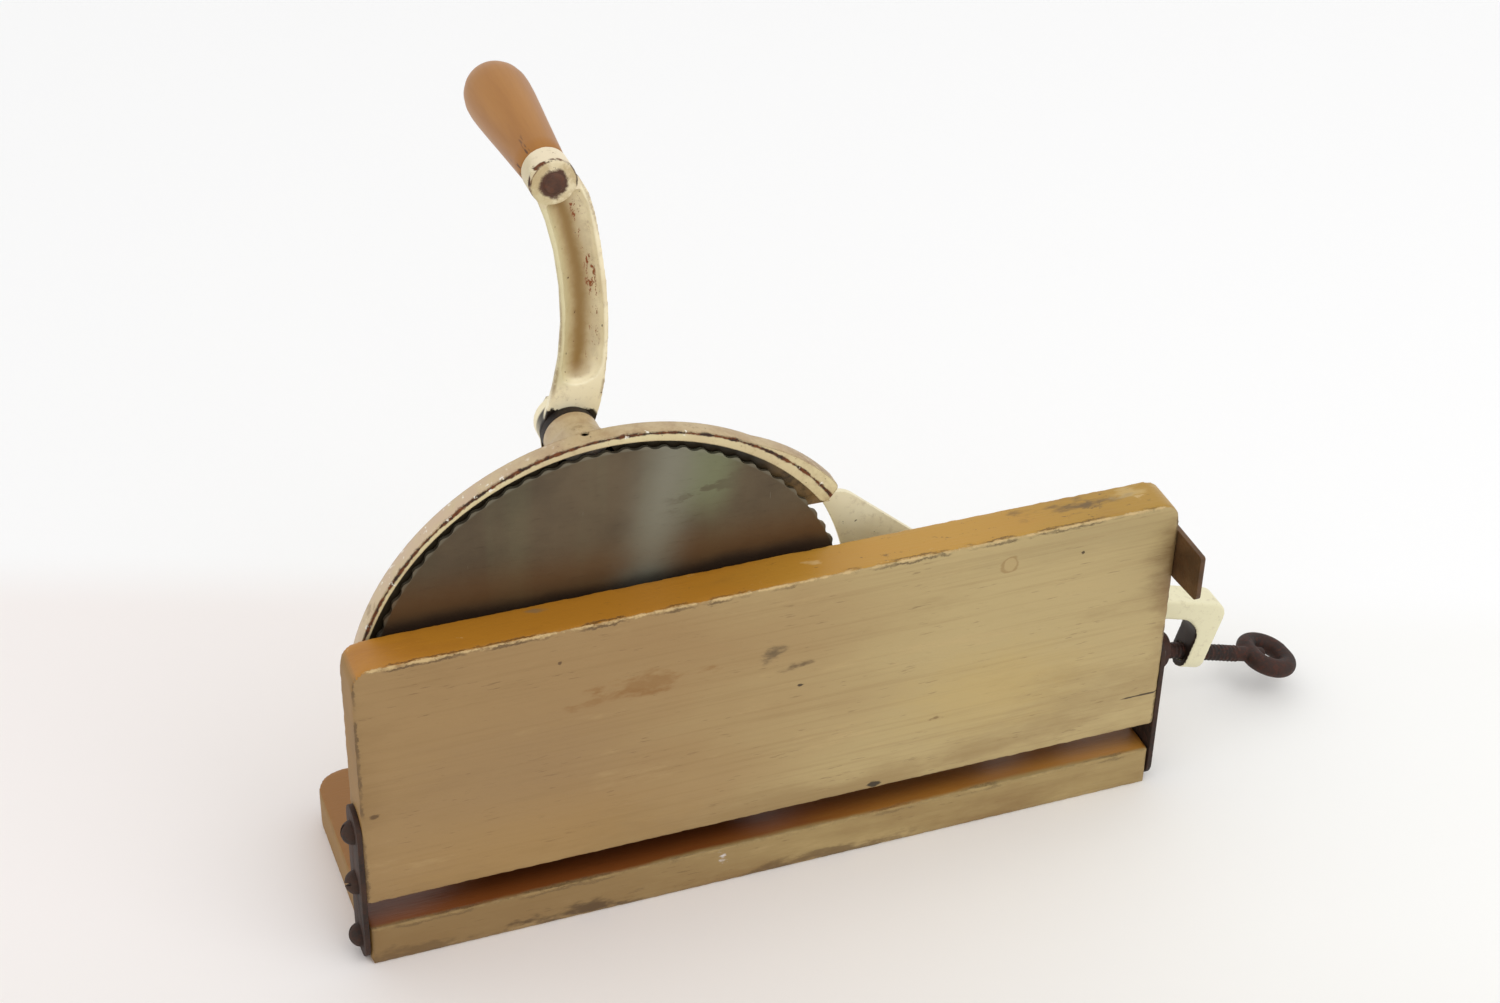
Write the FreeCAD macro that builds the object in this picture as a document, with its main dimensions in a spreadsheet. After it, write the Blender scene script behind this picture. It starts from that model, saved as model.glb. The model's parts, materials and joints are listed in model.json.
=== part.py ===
import FreeCAD, Part
import math
import os
import Sketcher
from FreeCAD import Placement, Rotation, Vector

# Hand crank bread slicer, stored with its bread tray folded up and its table clamp swung up.
# Millimetres. X runs to the right along the boards, Y to the back, Z up.
# The origin is the middle of the base board's underside.

doc = FreeCAD.newDocument("BreadSlicer")
sheet = doc.addObject("Spreadsheet::Sheet", "Sizes")

# Driving dimensions, one cell each
dimensions = [
    # Clearances: turning fits, pieces that pass each other, and pieces that are only laid in
    ("running_fit", 0.05),
    ("passing_gap", 0.3),
    # Base board
    ("board_length", 330.0),
    ("base_depth", 96.0),
    ("base_thickness", 18.0),
    ("base_rear_corner", 13.0),
    ("base_front_corner", 2.0),
    ("board_edge", 1.2),
    # Bread tray, which stands on edge in front while it is folded up
    ("tray_height", 111.0),
    ("tray_thickness", 18.7),
    ("tray_gap", 13.0),
    ("tray_corner", 8.0),
    # Steel strips that hang the tray on the base board
    ("strip_thickness", 2.0),
    ("strip_width", 17.4),
    ("strip_reach", 54.4),
    ("lower_screw_rise", 27.0),
    ("upper_screw_rise", 52.0),
    ("dome_radius", 4.75),
    ("dome_rise", 4.3),
    ("wood_screw_radius", 2.2),
    ("wood_screw_length", 18.0),
    ("pivot_pin_radius", 2.6),
    # Steel hook at the tray's right end, which hangs over the table's edge once the tray is down
    ("hook_reach", 19.0),
    ("hook_overlap", 17.0),
    ("hook_height", 22.4),
    ("hook_below_tray_top", 13.4),
    ("hook_taper", 1.6),
    ("hook_corner", 2.4),
    ("hook_screw_head_radius", 3.4),
    # Round blade
    ("blade_from_left", 105.4),
    ("blade_above_table", 8.0),
    ("blade_radius", 95.6),
    ("blade_thickness", 1.5),
    ("scallop_depth", 1.2),
    ("scallop_count", 79),
    ("scallop_crest_share", 0.4),
    ("axle_radius", 7.0),
    ("axle_stud_radius", 5.0),
    ("axle_head_radius", 11.0),
    ("axle_head_thickness", 2.2),
    # Gears
    ("gear_inset", 13.35),
    ("blade_gear_teeth", 94),
    ("pinion_teeth", 10),
    ("gear_width", 7.5),
    ("pinion_width", 7.0),
    ("crank_lean_angle", 5.35),
    ("gear_web", 3.0),
    ("gear_rim", 9.0),
    ("rivet_circle", 30.0),
    ("rivet_count", 6),
    ("rivet_radius", 2.0),
    # Cast housing: the guard ring round the blade, the gear case, the crank's neck and the foot
    ("ring_setback", 3.3),
    ("ring_blade_gap", 4.0),
    ("ring_width", 3.75),
    ("ring_shift", 1.4),
    ("ring_depth", 6.8),
    ("ring_end_angle", 33.4),
    ("ring_end_slant_angle", 1.5),
    ("ring_end_width", 9.0),
    ("ring_end_corner", 2.8),
    ("web_end_lag_angle", 1.2),
    ("web_end_slant_angle", -3.5),
    ("ring_end_curve_ratio", 0.8),
    ("ring_shoulder_angle", 58.5),
    ("blade_setback", 2.5),
    ("case_flange_gap", 0.7),
    ("case_flange_width", 4.5),
    ("case_flange_overlap", 1.0),
    ("case_wall", 3.0),
    ("gear_side_gap", 1.5),
    ("gear_tip_gap", 2.5),
    ("axle_boss_radius", 14.0),
    ("axle_boss_height", 3.0),
    ("neck_radius", 10.6),
    ("neck_wall", 0.8),
    ("neck_length", 7.5),
    ("neck_flare", 6.0),
    ("pinion_pocket_gap", 0.5),
    ("oil_hole_radius", 1.6),
    ("oil_hole_setback", 6.2),
    ("foot_length", 120.0),
    ("foot_depth", 43.0),
    ("foot_thickness", 6.0),
    ("foot_corner", 8.0),
    ("foot_screw_inset", 11.0),
    ("foot_screw_radius", 2.6),
    ("gusset_thickness", 6.0),
    ("gusset_height", 46.0),
    ("gusset_inset", 26.0),
    ("gusset_toe_rise", 1.8),
    ("slot_half_length", 50.0),
    ("slot_side_gap", 2.0),
    # Crank
    ("crank_shaft_radius", 5.0),
    ("crank_radius", 102.9),
    ("crank_tilt_angle", 1.73),
    ("crank_bow_radius", 153.0),
    ("crank_root_half_width", 10.0),
    ("crank_top_half_width", 8.9),
    ("crank_depth", 9.5),
    ("crank_wall", 1.9),
    ("crank_recess", 6.2),
    ("crank_back_rounding", 6.0),
    ("crank_trough_start", 19.5),
    ("crank_trough_rounding", 5.0),
    ("crank_hub_radius", 10.4),
    ("crank_hub_depth", 9.8),
    ("crank_boss_radius", 8.6),
    ("crank_boss_depth", 12.0),
    ("crank_washer_radius", 10.3),
    ("crank_washer_thickness", 3.4),
    ("crank_washer_play", 0.6),
    ("crank_hub_play", 0.45),
    ("hex_nut_radius", 7.2),
    ("hex_nut_height", 5.0),
    ("thread_end", 0.8),
    # Handle, which turns on a spindle riveted into the crank
    ("handle_length", 69.7),
    ("handle_root_radius", 8.3),
    ("handle_belly_radius", 12.3),
    ("handle_belly_at", 57.0),
    ("handle_end_radius", 6.4),
    ("spindle_radius", 3.2),
    ("spindle_head_radius", 5.6),
    ("spindle_head_thickness", 2.2),
    ("spindle_rivet_radius", 4.1),
    ("spindle_rivet_rise", 0.8),
    # Stop plate for the slice thickness
    ("slice_setting", 9.5),
    ("slice_travel_back", 6.0),
    ("plate_thickness", 2.5),
    ("plate_blade_gap", 3.8),
    ("plate_top_angle", 28.5),
    ("plate_peak_width", 9.25),
    ("plate_peak_rise", 3.4),
    ("plate_peak_corner", 12.0),
    ("plate_slope_angle", 41.3),
    ("plate_foot_left", 172.0),
    ("plate_foot_length", 100.0),
    ("plate_foot_depth", 36.0),
    ("plate_corner", 4.0),
    ("stud_radius", 3.0),
    ("stud_setback", 18.0),
    ("stud_inset", 22.0),
    ("stud_depth", 12.0),
    ("stud_rise", 16.0),
    ("washer_radius", 6.5),
    ("washer_thickness", 1.2),
    ("wing_nut_radius", 5.5),
    ("wing_nut_top_radius", 4.7),
    ("wing_nut_height", 7.0),
    ("wing_span", 14.0),
    ("wing_height", 11.0),
    ("wing_thickness", 2.4),
    ("wing_tip_width", 4.9),
    ("wing_root_sink", 0.3),
    ("wing_saddle_rise", 0.55),
    # Table clamp
    ("clamp_pivot_inset", 34.0),
    ("clamp_pivot_rise", 13.0),
    ("clamp_axis_setback", 43.0),
    ("clamp_depth", 13.5),
    ("clamp_tilt_angle", 17.0),
    ("clamp_boss_radius", 8.5),
    ("clamp_reach", 66.5),
    ("clamp_rise", 37.7),
    ("clamp_bar_height", 9.0),
    ("clamp_leg_thickness", 9.2),
    ("clamp_screw_drop", 20.0),
    ("clamp_inner_corner", 11.0),
    ("clamp_outer_corner", 6.5),
    ("clamp_shoulder_corner", 10.0),
    ("clamp_bolt_radius", 4.0),
    ("bolt_head_radius", 7.0),
    ("bolt_head_height", 4.0),
    ("bracket_lug_thickness", 3.0),
    ("bracket_plate_thickness", 2.5),
    ("bracket_width", 24.0),
    ("bracket_wing", 13.0),
    ("bracket_screw_radius", 2.0),
    ("bracket_screw_inset", 5.0),
    ("screw_radius", 3.7),
    ("screw_behind_leg", 24.0),
    ("eye_half_length", 8.4),
    ("eye_half_width", 10.5),
    ("eye_wire_radius", 4.1),
    ("eye_turn_angle", 88.0),
    ("pad_radius", 8.0),
    ("pad_rim", 3.2),
    ("pad_length", 5.6),
    ("pad_neck_radius", 5.0),
    ("pad_from_leg", 7.7),
    ("pad_pin_radius", 3.0),
    ("pad_pin_length", 3.6),
]


# A size knows its value and the formula that gives it, so that each piece stays tied to the cells.
class Size:
    def __init__(self, value, formula):
        self.value = float(value)
        self.formula = formula

    def __add__(self, other):
        other = as_size(other)
        return Size(self.value + other.value, "(%s + %s)" % (self.formula, other.formula))

    def __sub__(self, other):
        other = as_size(other)
        return Size(self.value - other.value, "(%s - %s)" % (self.formula, other.formula))

    def __mul__(self, other):
        other = as_size(other)
        return Size(self.value * other.value, "%s * %s" % (self.formula, other.formula))

    def __truediv__(self, other):
        other = as_size(other)
        return Size(self.value / other.value, "%s / (%s)" % (self.formula, other.formula))

    def __radd__(self, other):
        return as_size(other) + self

    def __rsub__(self, other):
        return as_size(other) - self

    def __rmul__(self, other):
        return as_size(other) * self

    def __neg__(self):
        return Size(-self.value, "(0 - %s)" % self.formula)

    def __float__(self):
        return self.value


def as_size(number):
    if isinstance(number, Size):
        return number
    return Size(number, "(%r)" % float(number))


def sine(angle):
    return Size(math.sin(math.radians(float(angle))), "sin(%s)" % angle.formula)


def cosine(angle):
    return Size(math.cos(math.radians(float(angle))), "cos(%s)" % angle.formula)


def tangent(angle):
    return Size(math.tan(math.radians(float(angle))), "tan(%s)" % angle.formula)


def root(square):
    return Size(math.sqrt(float(square)), "sqrt(%s)" % square.formula)


for row, (name, value) in enumerate(dimensions, start=1):
    sheet.set("A%d" % row, name)
    sheet.set("B%d" % row, str(value))
    sheet.setAlias("B%d" % row, name)
doc.recompute()
size = {name: Size(sheet.get(name), "Sizes." + name) for name, value in dimensions}


# Binding a property to the cells, and setting its value at once
def bind(thing, path, amount):
    thing.setExpression(path, as_size(amount).formula)


def place(thing, x=0, y=0, z=0, turn=None):
    thing.Placement = Placement(Vector(float(x), float(y), float(z)), turn or Rotation())
    bind(thing, "Placement.Base.x", x)
    bind(thing, "Placement.Base.y", y)
    bind(thing, "Placement.Base.z", z)
    return thing


to_back = Rotation(Vector(0, 0, 1), Vector(0, 1, 0))
to_right = Rotation(Vector(0, 0, 1), Vector(1, 0, 0))
to_left = Rotation(Vector(0, 0, 1), Vector(-1, 0, 0))


# Sketches: on a plane that faces the front at depth y, the right side at x, or the top at height z
def new_body(label):
    body = doc.addObject("PartDesign::Body", label)
    body.Label = label
    return body


def new_sketch(body, role, offset):
    sketch = body.newObject("Sketcher::SketchObject", body.Name + "_sketch")
    plane = next(feature for feature in body.Origin.OriginFeatures if feature.Role == role)
    sketch.AttachmentSupport = [(plane, "")]
    sketch.MapMode = "FlatFace"
    bind(sketch, "AttachmentOffset.Base.z", offset)
    return sketch


def front_sketch(body, y=0):
    return new_sketch(body, "XZ_Plane", -as_size(y))


def side_sketch(body, x=0):
    return new_sketch(body, "YZ_Plane", x)


def top_sketch(body, z=0):
    return new_sketch(body, "XY_Plane", z)


def pin_point(sketch, geometry, end, across, up):
    for kind, amount in (("DistanceX", across), ("DistanceY", up)):
        amount = as_size(amount)
        index = sketch.addConstraint(Sketcher.Constraint(kind, -1, 1, geometry, end, float(amount)))
        bind(sketch, "Constraints[%d]" % index, amount)


# The middle of the arc of a given radius from one corner to the next. A positive radius has its
# middle on the left of the way from start to end.
def arc_middle(start, end, radius):
    chord = end - start
    half = chord.Length / 2
    side = Vector(-chord.y, chord.x, 0).normalize()
    reach = math.sqrt(max(radius * radius - half * half, 0.0))
    return (start + end) * 0.5 + side * math.copysign(reach, radius)


# A closed outline through its corners. A corner with a third value starts an arc of that radius.
def outline(sketch, corners):
    points = [Vector(float(corner[0]), float(corner[1]), 0) for corner in corners]
    edges = []
    for number, corner in enumerate(corners):
        start = points[number]
        end = points[(number + 1) % len(corners)]
        if len(corner) == 2:
            edges.append((sketch.addGeometry(Part.LineSegment(start, end)), 1, 2))
            continue
        radius = float(corner[2])
        middle = arc_middle(start, end, radius)
        circle = Part.Circle(middle, Vector(0, 0, 1), abs(radius))
        angles = [math.atan2(point.y - middle.y, point.x - middle.x) for point in (start, end)]
        if radius > 0:
            arc = sketch.addGeometry(Part.ArcOfCircle(circle, angles[0], angles[1]))
            edges.append((arc, 1, 2))
        else:
            arc = sketch.addGeometry(Part.ArcOfCircle(circle, angles[1], angles[0]))
            edges.append((arc, 2, 1))
        index = sketch.addConstraint(Sketcher.Constraint("Radius", arc, abs(radius)))
        bind(sketch, "Constraints[%d]" % index, corner[2] if radius > 0 else -as_size(corner[2]))
    for number, (edge, first, last) in enumerate(edges):
        following, its_first, its_last = edges[(number + 1) % len(edges)]
        sketch.addConstraint(Sketcher.Constraint("Coincident", edge, last, following, its_first))
        pin_point(sketch, edge, first, corners[number][0], corners[number][1])


def rectangle(sketch, left, right, low, high):
    outline(sketch, [(left, low), (right, low), (right, high), (left, high)])


def circle(sketch, across, up, radius):
    centre = Vector(float(across), float(up), 0)
    index = sketch.addGeometry(Part.Circle(centre, Vector(0, 0, 1), float(radius)))
    pin_point(sketch, index, 3, across, up)
    constraint = sketch.addConstraint(Sketcher.Constraint("Radius", index, float(radius)))
    bind(sketch, "Constraints[%d]" % constraint, radius)


# Features. Pads grow to the back, to the right or upward, and pockets cut the same way unless flipped.
def pad(body, sketch, length, flip=False):
    feature = body.newObject("PartDesign::Pad", "Pad")
    feature.Profile = sketch
    feature.Reversed = faces_front(sketch) != flip
    bind(feature, "Length", length)
    body.Tip = feature
    return body


def pocket(body, sketch, length, flip=False):
    doc.recompute()
    before = body.Shape.Volume
    feature = body.newObject("PartDesign::Pocket", "Pocket")
    feature.Profile = sketch
    feature.Reversed = (not faces_front(sketch)) != flip
    bind(feature, "Length", length)
    body.Tip = feature
    doc.recompute()
    if body.Shape.Volume >= before:
        raise RuntimeError(body.Label + ": a pocket takes nothing away")
    return body


def faces_front(sketch):
    return sketch.AttachmentSupport[0][0].Role == "XZ_Plane"


def revolve(body, sketch, axis):
    feature = body.newObject("PartDesign::Revolution", "Revolution")
    feature.Profile = sketch
    feature.ReferenceAxis = (sketch, [axis])
    feature.Angle = 360
    body.Tip = feature
    return body


def axis_line(sketch, up):
    index = sketch.addGeometry(Part.LineSegment(Vector(-1, float(up), 0), Vector(1, float(up), 0)), True)
    pin_point(sketch, index, 1, -1, up)
    pin_point(sketch, index, 2, 1, up)
    return "Axis0"


# Edges to round are found by their direction and by where their middles lie
def runs_along(edge, direction):
    if not isinstance(edge.Curve, Part.Line):
        return False
    return abs(abs(edge.Curve.Direction.dot(direction)) - 1) < 1e-6


def edges_at(direction, places):
    def chosen(edge):
        if not runs_along(edge, direction):
            return False
        middle = edge.CenterOfMass
        spots = [[(middle[axis], float(spot)) for axis, spot in place.items()] for place in places]
        return any(all(abs(here - there) < 0.05 for here, there in spot) for spot in spots)
    return chosen


def soften(body, radius, chosen):
    doc.recompute()
    last = body.Tip
    names = ["Edge%d" % number for number, edge in enumerate(last.Shape.Edges, start=1) if chosen(edge)]
    feature = body.newObject("PartDesign::Fillet", "Fillet")
    feature.Base = (last, names)
    bind(feature, "Radius", radius)
    body.Tip = feature
    return body


# A turned piece, given by the (radius, distance) corners of its half section
def turned(label, corners, x=0, y=0, z=0, turn=None):
    body = new_body(label)
    sketch = front_sketch(body)
    outline(sketch, corners)
    revolve(body, sketch, "V_Axis")
    return place(body, x, y, z, turn)


# Identical pieces share one node, each as a solid of its own
def group(label, members):
    compound = doc.addObject("Part::Compound", label)
    compound.Label = label
    compound.Links = members
    return compound


def hex_nut(label, bore, x, y, z, turn):
    blank = doc.addObject("Part::Prism", label + "_blank")
    blank.Polygon = 6
    bind(blank, "Circumradius", size["hex_nut_radius"])
    bind(blank, "Height", size["hex_nut_height"])
    hole = doc.addObject("Part::Cylinder", label + "_bore")
    bind(hole, "Radius", bore)
    bind(hole, "Height", size["hex_nut_height"])
    nut = doc.addObject("Part::Cut", label)
    nut.Label = label
    nut.Base = blank
    nut.Tool = hole
    return place(nut, x, y, z, turn)


# A piece drawn by a formula, put in its place afterwards
def shaped(label, shape, x, y, z, turn=None):
    feature = doc.addObject("Part::Feature", label)
    feature.Label = label
    feature.Shape = shape
    return place(feature, x, y, z, turn)


# A screw with a domed head; its distance is measured from under the head, head side negative
def dome_screw(label, head_radius, head_rise, shank_radius, shank_length, x, y, z, turn=None):
    dome = (head_radius * head_radius + head_rise * head_rise) / (head_rise * 2)
    corners = [(0, 0 - head_rise, dome), (head_radius, 0), (shank_radius, 0)]
    corners += [(shank_radius, shank_length), (0, shank_length + shank_radius)]
    return turned(label, corners, x, y, z, turn)


# Places that several pieces share
running = size["running_fit"]
gap = size["passing_gap"]
half_board = size["board_length"] / 2
half_base = half_board - gap
base_top = size["base_thickness"]
front = -size["base_depth"] / 2
rear = size["base_depth"] / 2
tray_back = front + size["tray_thickness"]
tray_low = base_top + size["tray_gap"]
tray_top = tray_low + size["tray_height"]
pivot_y = front + base_top / 2
pivot_z = base_top / 2
strip_outside = half_board + size["strip_thickness"]

blade_x = size["blade_from_left"] - half_board
blade_z = size["blade_radius"] + size["blade_above_table"]
ring_inner = size["blade_radius"] + size["ring_blade_gap"]
ring_outer = ring_inner + size["ring_width"]
ring_y = tray_back + size["ring_setback"]
ring_back = ring_y + size["ring_depth"]
blade_y = ring_y + size["blade_setback"]
gear_y = blade_y + size["blade_thickness"]
gear_back = gear_y + size["gear_width"]
flange_y = gear_y + size["case_flange_gap"]
plate_y = gear_back + size["gear_side_gap"]
case_back = plate_y + size["case_wall"]
boss_front = gear_back + gap
boss_back = case_back + size["axle_boss_height"]
gear_module = (size["blade_radius"] - size["gear_inset"]) * 2 / size["blade_gear_teeth"]
gear_tip = gear_module * (size["blade_gear_teeth"] + 2) / 2
pinion_tip = gear_module * (size["pinion_teeth"] + 2) / 2
pinion_room = pinion_tip + size["pinion_pocket_gap"]
neck_root = pinion_room + size["neck_wall"]
case_inner = gear_tip + size["gear_tip_gap"]
case_outer = case_inner + size["case_wall"]
flange_outer = case_outer + size["case_flange_width"]

centre_distance = gear_module * (size["blade_gear_teeth"] + size["pinion_teeth"]) / 2
crank_x = blade_x - centre_distance * sine(size["crank_lean_angle"])
crank_z = blade_z + centre_distance * cosine(size["crank_lean_angle"])
pinion_y = gear_back + gap / 2 - size["pinion_width"]
neck_end = case_back + size["neck_length"]
washer_y = neck_end + size["crank_washer_play"]
crank_y = washer_y + size["crank_washer_thickness"] + size["crank_hub_play"]
hub_back = crank_y + size["crank_hub_depth"]
boss_back_y = crank_y + size["crank_boss_depth"]
handle_x = crank_x - size["crank_radius"] * sine(size["crank_tilt_angle"])
handle_z = crank_z + size["crank_radius"] * cosine(size["crank_tilt_angle"])
handle_y = boss_back_y + gap
nut_y = hub_back

stop_y = blade_y + size["slice_setting"]
foot_left = size["plate_foot_left"] - half_board
foot_right = foot_left + size["plate_foot_length"]
foot_z = base_top + gap
stud_xs = [foot_left + size["stud_inset"], foot_right - size["stud_inset"]]
stud_y = stop_y + size["stud_setback"]

housing_left = blade_x - size["foot_length"] / 2
housing_right = blade_x + size["foot_length"] / 2
foot_screw_xs = [housing_left + size["foot_screw_inset"], housing_right - size["foot_screw_inset"]]
foot_back = plate_y + size["foot_depth"]
foot_screw_ys = [case_back + size["foot_screw_inset"], foot_back - size["foot_screw_inset"]]

clamp_x = half_board - size["clamp_pivot_inset"]
clamp_z = base_top + size["clamp_pivot_rise"]
clamp_y = front + size["clamp_axis_setback"]
lug_inside = size["clamp_depth"] / 2 + gap
lug_outside = lug_inside + size["bracket_lug_thickness"]
bracket_half = lug_outside + size["bracket_wing"]
bracket_screw_x = size["bracket_width"] / 2 - size["bracket_screw_inset"]
bracket_screw_y = bracket_half - size["bracket_screw_inset"]
clamp_turn = Rotation(Vector(0, 1, 0), float(size["clamp_tilt_angle"]))
leg_inner = size["clamp_reach"]
leg_outer = leg_inner + size["clamp_leg_thickness"]
bar_low = size["clamp_rise"]
bar_top = bar_low + size["clamp_bar_height"]
screw_line = bar_low - size["clamp_screw_drop"]
pad_face = leg_inner - size["pad_from_leg"] - size["pad_length"]


# Boards
def base_board():
    body = new_body("base_board")
    sketch = top_sketch(body)
    rectangle(sketch, -half_base, half_base, front, rear)
    pad(body, sketch, base_top)
    rear_corners = [{0: half_base, 1: rear}, {0: -half_base, 1: rear}]
    front_corners = [{0: half_base, 1: front}, {0: -half_base, 1: front}]
    soften(body, size["base_rear_corner"], edges_at(Vector(0, 0, 1), rear_corners))
    soften(body, size["base_front_corner"], edges_at(Vector(0, 0, 1), front_corners))
    doc.recompute()
    soften(body, size["board_edge"], lambda edge: abs(edge.CenterOfMass.z - float(base_top)) < 0.01)
    slot = top_sketch(body, base_top)
    slot_front = blade_y - size["slot_side_gap"]
    slot_back = gear_y + size["slot_side_gap"]
    rectangle(slot, blade_x - size["slot_half_length"], blade_x + size["slot_half_length"],
              slot_front, slot_back)
    pocket(body, slot, base_top, flip=True)
    holes = top_sketch(body, base_top)
    for x in foot_screw_xs:
        for y in foot_screw_ys:
            circle(holes, x, y, size["foot_screw_radius"])
    for x in (clamp_x - bracket_screw_x, clamp_x + bracket_screw_x):
        for y in (clamp_y - bracket_screw_y, clamp_y + bracket_screw_y):
            circle(holes, x, y, size["bracket_screw_radius"])
    for x in stud_xs:
        circle(holes, x, stud_y, size["stud_radius"])
    pocket(body, holes, size["wood_screw_length"] - size["wood_screw_radius"], flip=True)
    for x, flip in ((-half_base, False), (half_base, True)):
        pivot = side_sketch(body, x)
        circle(pivot, pivot_y, pivot_z, size["pivot_pin_radius"])
        pocket(body, pivot, size["wood_screw_length"], flip)
    return body


def tray_board():
    body = new_body("tray_board")
    sketch = front_sketch(body)
    rectangle(sketch, -half_board, half_board, 0, size["tray_height"])
    pad(body, sketch, size["tray_thickness"])
    top_corners = [{0: half_board, 2: size["tray_height"]}, {0: -half_board, 2: size["tray_height"]}]
    soften(body, size["tray_corner"], edges_at(Vector(0, 1, 0), top_corners))
    doc.recompute()
    top = float(size["tray_height"])
    soften(body, size["board_edge"],
           lambda edge: edge.CenterOfMass.z > top / 2 and not runs_along(edge, Vector(0, 1, 0))
           and not runs_along(edge, Vector(0, 0, 1)) and edge.Length > float(size["tray_corner"]))
    screw_heights = [pivot_z + size[name] - tray_low for name in ("lower_screw_rise", "upper_screw_rise")]
    for x, flip in ((-half_board, False), (half_board, True)):
        holes = side_sketch(body, x)
        for height in screw_heights:
            circle(holes, pivot_y - front, height, size["wood_screw_radius"])
        if flip:
            for setback in hook_screw_setbacks():
                circle(holes, setback, hook_middle() - tray_low, size["wood_screw_radius"])
        pocket(body, holes, size["wood_screw_length"], flip)
    return place(body, 0, front, tray_low)


# Steel strips on the board ends, with round ends, turning on screws in the base board
def tray_strip(label, x):
    body = new_body(label)
    sketch = side_sketch(body)
    half = size["strip_width"] / 2
    top = size["strip_reach"]
    outline(sketch, [(-half, 0, half), (0, -half, half), (half, 0), (half, top, half), (0, top + half, half),
                     (-half, top)])
    pad(body, sketch, size["strip_thickness"])
    holes = side_sketch(body)
    circle(holes, 0, 0, size["pivot_pin_radius"] + running)
    circle(holes, 0, size["lower_screw_rise"], size["wood_screw_radius"])
    circle(holes, 0, size["upper_screw_rise"], size["wood_screw_radius"])
    pocket(body, holes, size["strip_thickness"])
    return place(body, x, pivot_y, pivot_z)


def strip_screws():
    screws = []
    for side, turn in ((-1, to_right), (1, to_left)):
        for name in ("lower_screw_rise", "upper_screw_rise"):
            label = "strip_screw_%d" % (len(screws) + 1)
            screws.append(dome_screw(
                label, size["dome_radius"], size["dome_rise"], size["wood_screw_radius"],
                size["wood_screw_length"] - size["wood_screw_radius"],
                strip_outside * side, pivot_y, pivot_z + size[name], turn))
    return group("tray_strip_screws", screws)


def tray_pivot_screws():
    screws = []
    for side, turn in ((-1, to_right), (1, to_left)):
        screws.append(dome_screw(
            "pivot_screw_%d" % (len(screws) + 1), size["dome_radius"], size["dome_rise"],
            size["pivot_pin_radius"], size["wood_screw_length"] - size["pivot_pin_radius"],
            (strip_outside + gap) * side, pivot_y, pivot_z, turn))
    return group("tray_pivot_screws", screws)


# The hook: a flat strip across the tray's right end that reaches out in front of it
def hook_middle():
    return tray_top - size["hook_below_tray_top"] - size["hook_height"] / 2


def hook_screw_setbacks():
    return [size["hook_overlap"] * share for share in (0.25, 0.75)]


def tray_hook():
    body = new_body("tray_hook")
    sketch = side_sketch(body)
    top = tray_top - size["hook_below_tray_top"]
    low = top - size["hook_height"]
    near = front - size["hook_reach"]
    far = front + size["hook_overlap"]
    outline(sketch, [(near, low + size["hook_taper"]), (front, low), (far, low), (far, top), (near, top)])
    pad(body, sketch, size["strip_thickness"])
    soften(body, size["hook_corner"],
           edges_at(Vector(1, 0, 0), [{1: near, 2: low + size["hook_taper"]}]))
    soften(body, size["hook_corner"] / 2,
           edges_at(Vector(1, 0, 0), [{1: near, 2: top}, {1: far, 2: top}, {1: far, 2: low}]))
    holes = side_sketch(body)
    for setback in hook_screw_setbacks():
        circle(holes, front + setback, hook_middle(), size["wood_screw_radius"])
    pocket(body, holes, size["strip_thickness"])
    return place(body, half_board)


def hook_screws():
    screws = []
    for setback in hook_screw_setbacks():
        screws.append(dome_screw(
            "hook_screw_%d" % (len(screws) + 1), size["hook_screw_head_radius"], size["strip_thickness"] / 2,
            size["wood_screw_radius"], size["wood_screw_length"] - size["wood_screw_radius"],
            strip_outside, front + setback, hook_middle(), to_left))
    return group("hook_screws", screws)


# Cast housing
def ring_outline(sketch, inner, angle, slant):
    shift = size["ring_shift"]
    outer = ring_outer
    low_outer = root(outer * outer - (blade_z - base_top) * (blade_z - base_top))
    low_inner = root(inner * inner - (blade_z - base_top) * (blade_z - base_top))
    end = inner + size["ring_end_width"]
    end_curve = outer * size["ring_end_curve_ratio"]
    shoulder = size["ring_shoulder_angle"]
    outline(sketch, [
        (blade_x + end * cosine(angle + slant), blade_z + end * sine(angle + slant), end_curve),
        (blade_x + shift + outer * cosine(shoulder), blade_z + outer * sine(shoulder), outer),
        (blade_x + shift, blade_z + outer, outer),
        (blade_x + shift - outer, blade_z, outer),
        (blade_x + shift - low_outer, base_top),
        (blade_x - low_inner, base_top, -inner),
        (blade_x - inner, blade_z, -inner),
        (blade_x, blade_z + inner, -inner),
        (blade_x + inner * cosine(angle), blade_z + inner * sine(angle)),
    ])


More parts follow.
